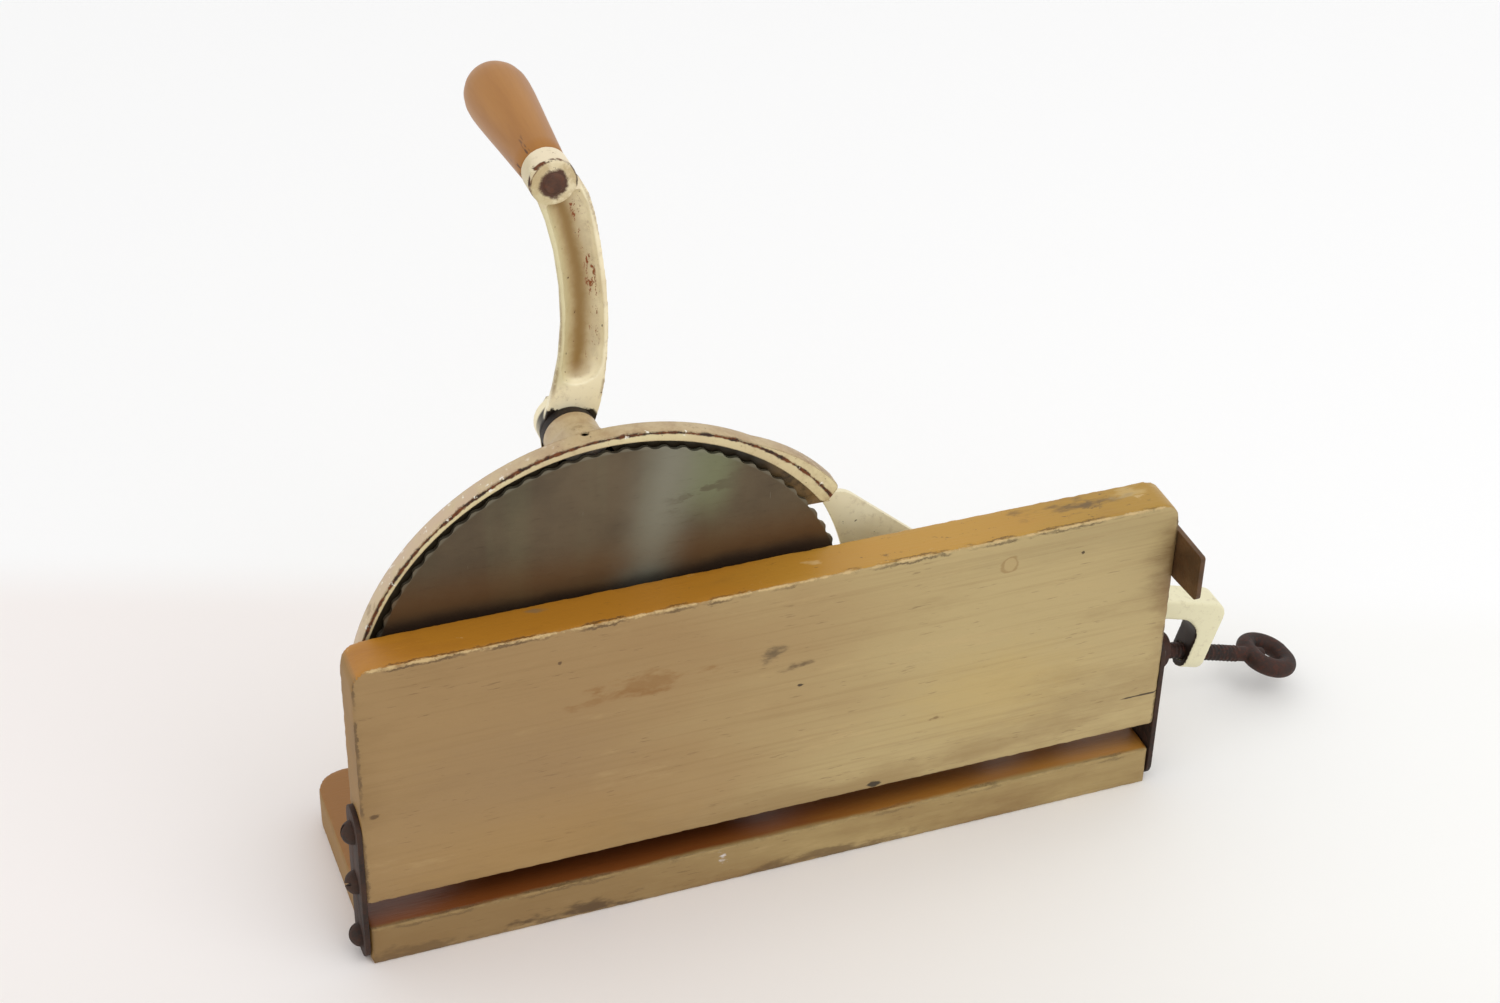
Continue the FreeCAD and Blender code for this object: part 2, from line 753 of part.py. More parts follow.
def blade_housing():
    body = new_body("blade_housing")
    ring = front_sketch(body, ring_y)
    end_angle = size["ring_end_angle"]
    ring_outline(ring, ring_inner, end_angle, size["ring_end_slant_angle"])
    pad(body, ring, size["ring_depth"])
    slant = end_angle + size["ring_end_slant_angle"]
    tip = ring_inner + size["ring_end_width"]
    soften(body, size["ring_end_corner"], edges_at(Vector(0, 1, 0), [
        {0: blade_x + tip * cosine(slant), 2: blade_z + tip * sine(slant)},
        {0: blade_x + ring_inner * cosine(end_angle), 2: blade_z + ring_inner * sine(end_angle)}]))
    web = front_sketch(body, flange_y)
    ring_outline(web, flange_outer - size["case_flange_overlap"], end_angle + size["web_end_lag_angle"],
                 size["web_end_slant_angle"])
    pad(body, web, ring_back - flange_y)

    case = side_sketch(body, blade_x)
    axis = axis_line(case, blade_z)
    stud = size["axle_stud_radius"]
    boss = size["axle_boss_radius"]
    outline(case, [
        (flange_y, blade_z + flange_outer),
        (ring_back, blade_z + flange_outer),
        (case_back, blade_z + case_outer),
        (case_back, blade_z + boss),
        (boss_back, blade_z + boss),
        (boss_back, blade_z + stud),
        (boss_front, blade_z + stud),
        (boss_front, blade_z + boss - size["case_wall"]),
        (plate_y, blade_z + boss - size["case_wall"]),
        (plate_y, blade_z + case_inner),
        (flange_y, blade_z + case_inner),
    ])
    revolve(body, case, axis)

    neck = side_sketch(body, crank_x)
    axis = axis_line(neck, crank_z)
    flare_end = case_back + size["neck_flare"] / 2
    outline(neck, [
        (flange_y, crank_z), (flange_y, crank_z + neck_root),
        (flare_end - size["neck_flare"], crank_z + neck_root, size["neck_flare"] * 2),
        (flare_end, crank_z + size["neck_radius"]),
        (neck_end, crank_z + size["neck_radius"]), (neck_end, crank_z)])
    revolve(body, neck, axis)

    foot = top_sketch(body, base_top)
    rectangle(foot, housing_left, housing_right, plate_y, foot_back)
    pad(body, foot, size["foot_thickness"])
    gusset_foot = case_back + size["foot_depth"] - size["case_wall"] - size["foot_corner"]
    for x in (housing_left + size["gusset_inset"],
              housing_right - size["gusset_inset"] - size["gusset_thickness"]):
        gusset = side_sketch(body, x)
        floor = base_top + size["foot_thickness"] / 2
        outline(gusset, [(plate_y + size["case_wall"] / 2, floor), (gusset_foot, floor),
                         (gusset_foot, base_top + size["foot_thickness"] + size["gusset_toe_rise"]),
                         (plate_y + size["case_wall"] / 2, base_top + size["foot_thickness"]
                          + size["gusset_height"])])
        pad(body, gusset, size["gusset_thickness"])
    corners = [{0: housing_left, 1: foot_back}, {0: housing_right, 1: foot_back}]
    soften(body, size["foot_corner"], edges_at(Vector(0, 0, 1), corners))

    underside = top_sketch(body, base_top)
    reach = ring_outer * 2
    rectangle(underside, blade_x - reach, blade_x + reach, -reach, reach)
    pocket(body, underside, reach, flip=True)
    room_front = pinion_y - gap
    inside = front_sketch(body, room_front)
    circle(inside, crank_x, crank_z, pinion_room)
    pocket(body, inside, plate_y - room_front)
    disc = front_sketch(body, flange_y)
    circle(disc, blade_x, blade_z, case_inner)
    pocket(body, disc, boss_front - flange_y)
    bore = front_sketch(body, flange_y)
    circle(bore, crank_x, crank_z, size["crank_shaft_radius"] + running)
    pocket(body, bore, neck_end - flange_y)
    oil = top_sketch(body, crank_z)
    circle(oil, crank_x, ring_y + size["oil_hole_setback"], size["oil_hole_radius"])
    pocket(body, oil, neck_root + size["ring_width"])
    holes = top_sketch(body, base_top)
    for x in foot_screw_xs:
        for y in foot_screw_ys:
            circle(holes, x, y, size["foot_screw_radius"])
    pocket(body, holes, size["foot_thickness"])
    return body


def foot_screws():
    screws = []
    for x in foot_screw_xs:
        for y in foot_screw_ys:
            screws.append(dome_screw(
                "foot_screw_%d" % (len(screws) + 1), size["foot_screw_radius"] * 2,
                size["foot_screw_radius"], size["foot_screw_radius"], size["wood_screw_length"],
                x, y, base_top + size["foot_thickness"], Rotation(Vector(1, 0, 0), 180)))
    return group("foot_screws", screws)


# The axle stands fixed in the case's boss; its wide head keeps the blade on
def blade_axle():
    head = size["axle_head_radius"]
    thickness = size["axle_head_thickness"]
    shoulder = thickness + gap + boss_front - blade_y
    length = shoulder + boss_back - boss_front + size["hex_nut_height"] + size["thread_end"]
    head_y = blade_y - gap - thickness
    stud = size["axle_stud_radius"]
    return turned("blade_axle", [
        (0, 0), (head - thickness, 0, thickness * 1.5), (head, thickness), (size["axle_radius"], thickness),
        (size["axle_radius"], shoulder), (stud, shoulder), (stud, length), (0, length)],
        blade_x, head_y, blade_z, to_back)


# Rotating pieces: the blade's edge is a run of equal soft waves
def ring_of_points(count, radius, start=0.0):
    step = 2 * math.pi / count
    return [Vector(radius * math.cos(start + step * turn), 0, radius * math.sin(start + step * turn))
            for turn in range(count)]


def drilled(shape, holes, radius, length):
    for hole in holes:
        shape = shape.cut(Part.makeCylinder(radius, length, hole - Vector(0, length / 2, 0), Vector(0, 1, 0)))
    return shape


def rivet_places():
    return ring_of_points(int(float(size["rivet_count"])), float(size["rivet_circle"]))


def blade():
    count = int(float(size["scallop_count"]))
    crest_share = float(size["scallop_crest_share"])
    half_crest = crest_share * math.pi / count
    hollow_radius = float(size["blade_radius"] - size["scallop_depth"])
    bend_radius = float(size["blade_radius"] - size["scallop_depth"] * crest_share)
    tops = ring_of_points(count, float(size["blade_radius"]))
    hollows = ring_of_points(count, hollow_radius, math.pi / count)
    starts = ring_of_points(count, bend_radius, -half_crest)
    ends = ring_of_points(count, bend_radius, half_crest)
    arcs = []
    for turn in range(count):
        arcs.append(Part.Arc(starts[turn], tops[turn], ends[turn]).toShape())
        arcs.append(Part.Arc(ends[turn], hollows[turn], starts[(turn + 1) % count]).toShape())
    thickness = float(size["blade_thickness"])
    disc = Part.Face(Part.Wire(arcs)).extrude(Vector(0, thickness, 0))
    disc = drilled(disc, [Vector()], float(size["axle_radius"] + running), thickness * 4)
    disc = drilled(disc, rivet_places(), float(size["rivet_radius"]), thickness * 4)
    return shaped("blade", disc, blade_x, blade_y, blade_z)


# A tooth's shape in modules, from the pitch circle out and in, and half its width at either end
tooth_rise = 0.95
tooth_drop = 1.25
tooth_half_tip = 0.32
tooth_half_root = 0.94


# Straight-sided spur teeth; the first tooth stands at the start angle
def toothed_face(teeth, module, start):
    pitch_radius = teeth * module / 2
    tip = pitch_radius + module * tooth_rise
    bottom = pitch_radius - module * tooth_drop
    step = 2 * math.pi / teeth
    half_tip = module * tooth_half_tip / tip
    half_bottom = module * tooth_half_root / bottom
    edges = []
    last = None
    for tooth in range(teeth):
        middle = start + step * tooth
        corners = []
        flanks = ((bottom, -half_bottom), (tip, -half_tip), (tip, half_tip), (bottom, half_bottom))
        for radius, angle in flanks:
            corners.append(Vector(radius * math.cos(middle + angle), 0, radius * math.sin(middle + angle)))
        if last:
            edges.append(Part.makeLine(last, corners[0]))
        edges += [Part.makeLine(corners[side], corners[side + 1]) for side in range(3)]
        last = corners[3]
    edges.append(Part.makeLine(last, edges[0].Vertexes[0].Point))
    return Part.Face(Part.Wire(edges))


def blade_gear():
    teeth = int(float(size["blade_gear_teeth"]))
    module = float(gear_module)
    toward_pinion = math.radians(90 + float(size["crank_lean_angle"]))
    width = float(size["gear_width"])
    wheel = toothed_face(teeth, module, toward_pinion).extrude(Vector(0, width, 0))
    web = float(size["gear_web"])
    rim_inside = teeth * module / 2 - float(size["gear_rim"])
    back = Vector(0, 1, 0)
    trough = Part.makeCylinder(rim_inside, width, Vector(0, web, 0), back)
    trough = trough.cut(Part.makeCylinder(float(size["axle_radius"]) * 2, width, Vector(0, web, 0), back))
    wheel = wheel.cut(trough)
    wheel = drilled(wheel, [Vector()], float(size["axle_radius"] + running), width * 4)
    wheel = drilled(wheel, rivet_places(), float(size["rivet_radius"]), width * 4)
    return shaped("blade_gear", wheel, blade_x, gear_y, blade_z)


def gear_rivets():
    rivets = []
    radius = size["rivet_radius"]
    grip = size["blade_thickness"] + size["gear_web"]
    head = size["blade_thickness"] / 2
    for spot in rivet_places():
        number = len(rivets)
        angle = as_size(360.0) * number / size["rivet_count"]
        rivets.append(turned("gear_rivet_%d" % (number + 1), [
            (0, -head), (radius, -head), (radius * 2, 0), (radius, 0), (radius, grip), (radius * 2, grip),
            (radius, grip + head), (0, grip + head)],
            blade_x + size["rivet_circle"] * cosine(angle), blade_y,
            blade_z + size["rivet_circle"] * sine(angle), to_back))
    return group("gear_rivets", rivets)


def crank_pinion():
    teeth = int(float(size["pinion_teeth"]))
    toward_gear = math.radians(270 + float(size["crank_lean_angle"]))
    start = toward_gear + math.pi / teeth
    width = float(size["pinion_width"])
    wheel = toothed_face(teeth, float(gear_module), start).extrude(Vector(0, width, 0))
    wheel = drilled(wheel, [Vector()], float(size["crank_shaft_radius"]), width * 4)
    return shaped("crank_pinion", wheel, crank_x, pinion_y, crank_z)


def crank_shaft():
    length = nut_y + size["hex_nut_height"] + size["thread_end"] - pinion_y
    radius = size["crank_shaft_radius"]
    chamfer = size["thread_end"] / 2
    return turned("crank_shaft", [(0, 0), (radius, 0), (radius, length - chamfer), (radius - chamfer, length),
                                  (0, length)], crank_x, pinion_y, crank_z, to_back)


def crank_washer():
    radius = size["crank_washer_radius"]
    bore = size["crank_shaft_radius"]
    thickness = size["crank_washer_thickness"]
    return turned("crank_washer", [(bore, 0), (radius, 0), (radius, thickness), (bore, thickness)],
                  crank_x, washer_y, crank_z, to_back)


# The crank is a bowed bar with a trough in its front face, a hub below and a boss above
def bowed_edge(side, along):
    foot_half = size["crank_root_half_width"]
    top_half = size["crank_top_half_width"]
    length = size["crank_radius"]
    bow = length * length / (size["crank_bow_radius"] * 8)
    straight = foot_half + (top_half - foot_half) * along / length
    return straight * side + bow * 4 * along / length * (1 - along / length)


def bowed_bar(sketch, inset, low, high):
    bow = size["crank_bow_radius"]
    outline(sketch, [
        (bowed_edge(1, low) - inset, low, bow), (bowed_edge(1, high) - inset, high),
        (bowed_edge(-1, high) + inset, high, -bow), (bowed_edge(-1, low) + inset, low)])


def crank_arm():
    body = new_body("crank_arm")
    length = size["crank_radius"]
    bar = front_sketch(body)
    bowed_bar(bar, as_size(0.0), as_size(0.0), length)
    pad(body, bar, size["crank_depth"])
    doc.recompute()
    depth = float(size["crank_depth"])
    soften(body, size["crank_back_rounding"],
           lambda edge: abs(edge.CenterOfMass.y - depth) < 0.01 and not isinstance(edge.Curve, Part.Line))
    trough = front_sketch(body)
    bowed_bar(trough, size["crank_wall"], size["crank_trough_start"], length - size["crank_boss_radius"] / 2)
    pocket(body, trough, size["crank_recess"])
    doc.recompute()
    floor = float(size["crank_recess"])
    soften(body, size["crank_trough_rounding"], lambda edge: abs(edge.CenterOfMass.y - floor) < 0.01)
    hub = front_sketch(body)
    circle(hub, 0, 0, size["crank_hub_radius"])
    pad(body, hub, size["crank_hub_depth"])
    boss = front_sketch(body)
    circle(boss, 0, length, size["crank_boss_radius"])
    pad(body, boss, size["crank_boss_depth"])
    bores = front_sketch(body)
    circle(bores, 0, 0, size["crank_shaft_radius"])
    circle(bores, 0, length, size["spindle_radius"])
    pocket(body, bores, size["crank_boss_depth"])
    return place(body, crank_x, crank_y, crank_z, Rotation(Vector(0, 1, 0), -float(size["crank_tilt_angle"])))


def handle_spindle():
    rivet = size["spindle_rivet_radius"]
    rise = size["spindle_rivet_rise"]
    radius = size["spindle_radius"]
    head = size["spindle_head_radius"]
    thickness = size["spindle_head_thickness"]
    end = rise + size["crank_boss_depth"] + gap + size["handle_length"]
    return turned("handle_spindle", [
        (0, 0), (rivet - rise, 0), (rivet, rise), (radius, rise), (radius, end - thickness),
        (head, end - thickness), (head - thickness / 2, end), (0, end)],
        handle_x, crank_y - rise, handle_z, to_back)


def handle():
    length = size["handle_length"]
    belly = size["handle_belly_radius"]
    at = size["handle_belly_at"]
    base = size["handle_root_radius"]
    bore = size["spindle_radius"] + running
    pit = size["spindle_head_radius"] + gap
    pit_floor = length - size["spindle_head_thickness"] - gap
    rise = belly - base
    flank = (at * at + rise * rise) / (rise * 2)
    drop = belly - size["handle_end_radius"]
    tail = length - at
    nose = (tail * tail + drop * drop) / (drop * 2)
    return turned("handle", [
        (bore, 0), (base, 0, flank), (belly, at, nose), (size["handle_end_radius"], length),
        (pit, length), (pit, pit_floor), (bore, pit_floor)], handle_x, handle_y, handle_z, to_back)


# Stop plate: a thin upright plate beside the blade, bent back into a slotted foot
def stop_plate():
    body = new_body("stop_plate")
    edge = size["blade_radius"] + size["plate_blade_gap"]
    foot_across = foot_left - blade_x
    low = blade_z - root(edge * edge - foot_across * foot_across)
    top_angle = size["plate_top_angle"]
    crown_x = blade_x + edge * cosine(top_angle)
    crown_z = blade_z + edge * sine(top_angle)
    peak_x = crown_x + size["plate_peak_width"]
    peak_z = crown_z + size["plate_peak_rise"]
    right_z = peak_z - (foot_right - peak_x) * tangent(size["plate_slope_angle"])
    sheet_outline = front_sketch(body)
    outline(sheet_outline, [
        (foot_left, foot_z), (foot_right, foot_z), (foot_right, right_z), (peak_x, peak_z),
        (crown_x, peak_z), (crown_x, crown_z, -edge), (foot_left, low)])
    pad(body, sheet_outline, size["plate_thickness"])
    soften(body, size["plate_corner"],
           edges_at(Vector(0, 1, 0), [{0: foot_right, 2: right_z}]))
    soften(body, size["plate_peak_corner"], edges_at(Vector(0, 1, 0), [{0: peak_x, 2: peak_z}]))
    soften(body, size["plate_peak_rise"] / 2, edges_at(Vector(0, 1, 0), [{0: crown_x, 2: peak_z}]))
    foot = top_sketch(body, foot_z)
    rectangle(foot, foot_left, foot_right, 0, size["plate_foot_depth"])
    pad(body, foot, size["plate_thickness"])
    soften(body, size["plate_corner"],
           edges_at(Vector(0, 0, 1), [{0: foot_left, 1: size["plate_foot_depth"]},
                                      {0: foot_right, 1: size["plate_foot_depth"]}]))
    slots = top_sketch(body, foot_z)
    half = size["stud_radius"] + gap
    near = size["stud_setback"] - size["slice_travel_back"]
    far = size["stud_setback"] + size["slice_setting"]
    for x in stud_xs:
        outline(slots, [(x + half, near), (x + half, far, half), (x, far + half, half), (x - half, far),
                        (x - half, near, half), (x, near - half, half)])
    pocket(body, slots, size["plate_thickness"])
    return place(body, 0, stop_y, 0)


def stop_studs():
    radius = size["stud_radius"]
    chamfer = size["thread_end"]
    length = size["stud_depth"] + size["stud_rise"]
    studs = []
    for x in stud_xs:
        studs.append(turned("stop_stud_%d" % (len(studs) + 1), [
            (0, 0), (radius, 0), (radius, length - chamfer), (radius - chamfer, length), (0, length)],
            x, stud_y, base_top - size["stud_depth"]))
    return group("stop_studs", studs)


def stop_washers():
    washers = []
    bore = size["stud_radius"]
    radius = size["washer_radius"]
    thickness = size["washer_thickness"]
    for x in stud_xs:
        washers.append(turned("stop_washer_%d" % (len(washers) + 1), [
            (bore, 0), (radius, 0), (radius, thickness), (bore, thickness)],
            x, stud_y, foot_z + size["plate_thickness"] + gap))
    return group("stop_washers", washers)


# Wing nuts: a tapered barrel with two upswept ears
def wing_nut(label, x):
    barrel = doc.addObject("Part::Cone", label + "_barrel")
    bind(barrel, "Radius1", size["wing_nut_radius"])
    bind(barrel, "Radius2", size["wing_nut_top_radius"])
    bind(barrel, "Height", size["wing_nut_height"])
    ears = new_body(label + "_ears")
    sketch = front_sketch(ears)
    inner = size["wing_nut_top_radius"] - size["wing_root_sink"]
    span = size["wing_span"]
    tip_inside = span - size["wing_tip_width"]
    height = size["wing_height"]
    tip_low = height / 2
    saddle = tip_low + size["wing_saddle_rise"]
    low = size["wing_nut_height"] / 4
    outline(sketch, [(-inner, low), (inner, low), (span, tip_low), (span, height), (tip_inside, height),
                     (inner, saddle), (-inner, saddle), (-tip_inside, height), (-span, height),
                     (-span, tip_low)])
    pad(ears, sketch, size["wing_thickness"])
    soften(ears, size["wing_thickness"] / 2, edges_at(Vector(0, 1, 0), [
        {0: side * across, 2: up} for side in (-1, 1)
        for across, up in ((span, tip_low), (span, height), (tip_inside, height))]))
    place(ears, 0, -size["wing_thickness"] / 2, 0)
    joined = doc.addObject("Part::Fuse", label + "_blank")
    joined.Base = barrel
    joined.Tool = ears
    bore = doc.addObject("Part::Cylinder", label + "_bore")
    bind(bore, "Radius", size["stud_radius"] + running)
    bind(bore, "Height", size["wing_height"])
    nut = doc.addObject("Part::Cut", label)
    nut.Label = label
    nut.Base = joined
    nut.Tool = bore
    seat = foot_z + size["plate_thickness"] + gap * 2 + size["washer_thickness"]
    return place(nut, x, stud_y, seat)


# Table clamp and the bracket that it swings in
def clamp_bracket():
    body = new_body("clamp_bracket")
    half_width = size["bracket_width"] / 2
    thickness = size["bracket_plate_thickness"]
    plate = top_sketch(body, base_top)
    rectangle(plate, -half_width, half_width, -bracket_half, bracket_half)
    pad(body, plate, thickness)
    lug_radius = size["clamp_boss_radius"]
    for y in (-lug_outside, lug_inside):
        lug = front_sketch(body, y)
        outline(lug, [(-half_width, base_top), (half_width, base_top), (lug_radius, clamp_z, lug_radius),
                      (0, clamp_z + lug_radius, lug_radius), (-lug_radius, clamp_z)])
        pad(body, lug, size["bracket_lug_thickness"])
    bore = front_sketch(body, -lug_outside)
    circle(bore, 0, clamp_z, size["clamp_bolt_radius"])
    pocket(body, bore, lug_outside * 2)
    holes = top_sketch(body, base_top)
    for x in (-bracket_screw_x, bracket_screw_x):
        for y in (-bracket_screw_y, bracket_screw_y):
            circle(holes, x, y, size["bracket_screw_radius"])
    pocket(body, holes, thickness)
    corners = [{0: x, 1: y} for x in (-half_width, half_width) for y in (-bracket_half, bracket_half)]
    soften(body, size["bracket_screw_inset"] / 2, edges_at(Vector(0, 0, 1), corners))
    return place(body, clamp_x, clamp_y, 0)


def bracket_screws():
    screws = []
    radius = size["bracket_screw_radius"]
    for x in (-bracket_screw_x, bracket_screw_x):
        for y in (-bracket_screw_y, bracket_screw_y):
            screws.append(dome_screw(
                "bracket_screw_%d" % (len(screws) + 1), radius * 1.9, radius, radius,
                size["wood_screw_length"] - radius * 2,
                clamp_x + x, clamp_y + y, base_top + size["bracket_plate_thickness"],
                Rotation(Vector(1, 0, 0), 180)))
    return group("bracket_screws", screws)


def clamp_pivot_bolt():
    length = lug_outside * 2 + size["hex_nut_height"] + size["thread_end"]
    return dome_screw("clamp_pivot_bolt", size["bolt_head_radius"], size["bolt_head_height"],
                      size["clamp_bolt_radius"], length - size["clamp_bolt_radius"] + size["thread_end"],
                      clamp_x, clamp_y - lug_outside, clamp_z, to_back)


# The clamp arm is drawn with its pivot at the middle and its bar along X, then tilted
def clamp_arm():
    body = new_body("clamp_arm")
    boss = size["clamp_boss_radius"]
    arm = front_sketch(body, -size["clamp_depth"] / 2)
    outline(arm, [
        (-boss, 0, boss), (0, -boss, boss), (boss, 0), (boss, bar_low), (leg_inner, bar_low),
        (leg_inner, screw_line), (leg_outer, screw_line), (leg_outer, bar_top), (-boss, bar_top)])
    pad(body, arm, size["clamp_depth"])
    across = Vector(0, 1, 0)
    soften(body, size["clamp_inner_corner"], edges_at(across, [
        {0: leg_inner, 2: bar_low}, {0: boss, 2: bar_low}]))
    soften(body, size["clamp_outer_corner"], edges_at(across, [{0: leg_outer, 2: bar_top}]))
    soften(body, size["clamp_shoulder_corner"], edges_at(across, [{0: -boss, 2: bar_top}]))
    leg_end = side_sketch(body, leg_inner)
    circle(leg_end, 0, screw_line, size["clamp_depth"] / 2)
    pad(body, leg_end, size["clamp_leg_thickness"])
    bore = front_sketch(body, -size["clamp_depth"] / 2)
    circle(bore, 0, 0, size["clamp_bolt_radius"] + running)
    pocket(body, bore, size["clamp_depth"])
    thread = side_sketch(body, leg_inner)
    circle(thread, 0, screw_line, size["screw_radius"] + running)
    pocket(body, thread, size["clamp_leg_thickness"])
    place(body, clamp_x, clamp_y, clamp_z, clamp_turn)
    return body


# A point on the clamp, from its distance along the bar and its height above the pivot
def on_clamp(along, rise):
    tilt = size["clamp_tilt_angle"]
    return (clamp_x + along * cosine(tilt) + rise * sine(tilt), clamp_y,
            clamp_z - along * sine(tilt) + rise * cosine(tilt))


def clamp_pad():
    rim = size["pad_radius"]
    neck = size["pad_neck_radius"]
    pin = size["pad_pin_radius"] + running
    length = size["pad_length"]
    floor = length - size["pad_pin_length"] - gap
    x, y, z = on_clamp(pad_face, screw_line)
    return turned("clamp_pad", [
        (0, 0), (rim, 0), (rim, size["pad_rim"]), (neck, length), (pin, length), (pin, floor), (0, floor)],
        x, y, z, clamp_turn.multiply(to_right))


# The clamp's screw ends in an oval eye set across it: two half rings joined by short straight rods
def clamp_screw():
    along = Vector(1, 0, 0)
    pin_start = float(size["pad_length"] - size["pad_pin_length"])
    pin_radius = float(size["pad_pin_radius"])
    shoulder = float(size["pad_length"] + gap)
    eye_start = float(leg_outer + size["screw_behind_leg"] - pad_face)
    wire = float(size["eye_wire_radius"])
    bend = float(size["eye_half_length"])
    straight = float(size["eye_half_width"]) - bend
    middle = Vector(eye_start + wire + bend, 0, 0)
    pin = Part.makeCylinder(pin_radius, shoulder - pin_start, Vector(pin_start, 0, 0), along)
    shaft = Part.makeCylinder(float(size["screw_radius"]), eye_start + wire - shoulder,
                              Vector(shoulder, 0, 0), along)
    eye = []
    for side in (-1, 1):
        half_ring = Part.makeTorus(bend, wire, Vector(), Vector(0, 0, 1), 0, 360, 180)
        half_ring.rotate(Vector(), Vector(0, 0, 1), 90 - 90 * side)
        half_ring.translate(Vector(0, straight * side, 0))
        eye.append(half_ring)
        rod_start = Vector(bend * side, -straight, 0)
        eye.append(Part.makeCylinder(wire, straight * 2, rod_start, Vector(0, 1, 0)))
    for bit in eye:
        bit.rotate(Vector(), along, 90 - float(size["eye_turn_angle"]))
        bit.translate(middle)
    whole = pin.fuse([shaft] + eye).removeSplitter()
    x, y, z = on_clamp(pad_face, screw_line)
    return shaped("clamp_screw", whole, x, y, z, clamp_turn)


pieces = [
    base_board(),
    tray_board(),
    tray_strip("tray_strip_left", -strip_outside),
    tray_strip("tray_strip_right", half_board),
    strip_screws(),
    tray_pivot_screws(),
    tray_hook(),
    hook_screws(),
    blade_housing(),
    foot_screws(),
    blade_axle(),
    hex_nut("axle_nut", size["axle_stud_radius"], blade_x, boss_back, blade_z, to_back),
    blade(),
    blade_gear(),
    gear_rivets(),
    crank_shaft(),
    crank_pinion(),
    crank_washer(),
    crank_arm(),
    hex_nut("crank_nut", size["crank_shaft_radius"], crank_x, nut_y, crank_z, to_back),
    handle_spindle(),
    handle(),
    stop_plate(),
    stop_studs(),
    stop_washers(),
    wing_nut("wing_nut_left", stud_xs[0]),
    wing_nut("wing_nut_right", stud_xs[1]),
    clamp_bracket(),
    bracket_screws(),
    clamp_pivot_bolt(),
    hex_nut("clamp_pivot_nut", size["clamp_bolt_radius"], clamp_x, clamp_y + lug_outside, clamp_z, to_back),
    clamp_arm(),
    clamp_pad(),
    clamp_screw(),
]

doc.recompute()

# Every object has to be sound before anything is written
for thing in doc.Objects:
    if "Invalid" in thing.State or "Error" in thing.State:
        raise RuntimeError("%s is not sound: %s" % (thing.Label, thing.State))
for piece in pieces:
    if piece.Shape.isNull() or not piece.Shape.isValid() or not piece.Shape.Solids:
        raise RuntimeError(piece.Label + " has no valid solid")

os.makedirs("parts", exist_ok=True)
for piece in pieces:
    piece.Shape.exportStep(os.path.join("parts", piece.Label + ".step"))
    print("%-20s %2d solid(s) %10.0f mm3" % (piece.Label, len(piece.Shape.Solids), piece.Shape.Volume))
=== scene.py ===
import bmesh
import bpy
import json
import math
from mathutils import Matrix, Vector


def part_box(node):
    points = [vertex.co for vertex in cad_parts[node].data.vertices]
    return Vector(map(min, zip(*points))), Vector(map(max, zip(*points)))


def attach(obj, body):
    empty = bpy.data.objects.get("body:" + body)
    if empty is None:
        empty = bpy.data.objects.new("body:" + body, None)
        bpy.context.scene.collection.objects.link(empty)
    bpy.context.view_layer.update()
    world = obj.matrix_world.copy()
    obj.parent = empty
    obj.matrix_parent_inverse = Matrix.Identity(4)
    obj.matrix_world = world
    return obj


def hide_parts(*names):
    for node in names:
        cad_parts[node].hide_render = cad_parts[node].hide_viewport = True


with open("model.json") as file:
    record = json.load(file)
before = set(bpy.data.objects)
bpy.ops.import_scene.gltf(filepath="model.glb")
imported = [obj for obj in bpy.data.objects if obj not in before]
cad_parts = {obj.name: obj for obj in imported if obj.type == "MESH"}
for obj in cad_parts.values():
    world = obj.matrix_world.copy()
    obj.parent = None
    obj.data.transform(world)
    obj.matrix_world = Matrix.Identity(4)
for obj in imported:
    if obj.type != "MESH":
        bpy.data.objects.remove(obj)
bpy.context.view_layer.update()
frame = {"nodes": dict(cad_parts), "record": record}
bpy.ops.object.select_all(action="DESELECT")
print("frame loaded:", len(frame["nodes"]), "nodes")


# Shader maths reads as plain sums: a Field wraps one socket
class Field:
    def __init__(self, paint, socket):
        self.paint = paint
        self.socket = socket

    def reckon(self, operation, *values):
        return self.paint.node("ShaderNodeMath", {"operation": operation}, list(values))

    def __add__(self, other):
        return self.reckon("ADD", self, other)

    def __sub__(self, other):
        return self.reckon("SUBTRACT", self, other)

    def __rsub__(self, other):
        return self.reckon("SUBTRACT", other, self)

    def __mul__(self, other):
        return self.reckon("MULTIPLY", self, other)

    def __truediv__(self, other):
        return self.reckon("DIVIDE", self, other)

    def __pow__(self, other):
        return self.reckon("POWER", self, other)

    __radd__ = __add__
    __rmul__ = __mul__

    def size(self):
        return self.reckon("ABSOLUTE", self)

    def most(self, other):
        return self.reckon("MAXIMUM", self, other)

    def least(self, other):
        return self.reckon("MINIMUM", self, other)

    def between(self, low, high):  # 0 below low, 1 above high, soft in between
        values = {"Value": self, "From Min": low, "From Max": high}
        return self.paint.node("ShaderNodeMapRange", {"interpolation_type": "SMOOTHSTEP"}, values)

    def below(self, low, high):  # 1 below low, 0 above high, soft in between
        return 1 - self.between(low, high)


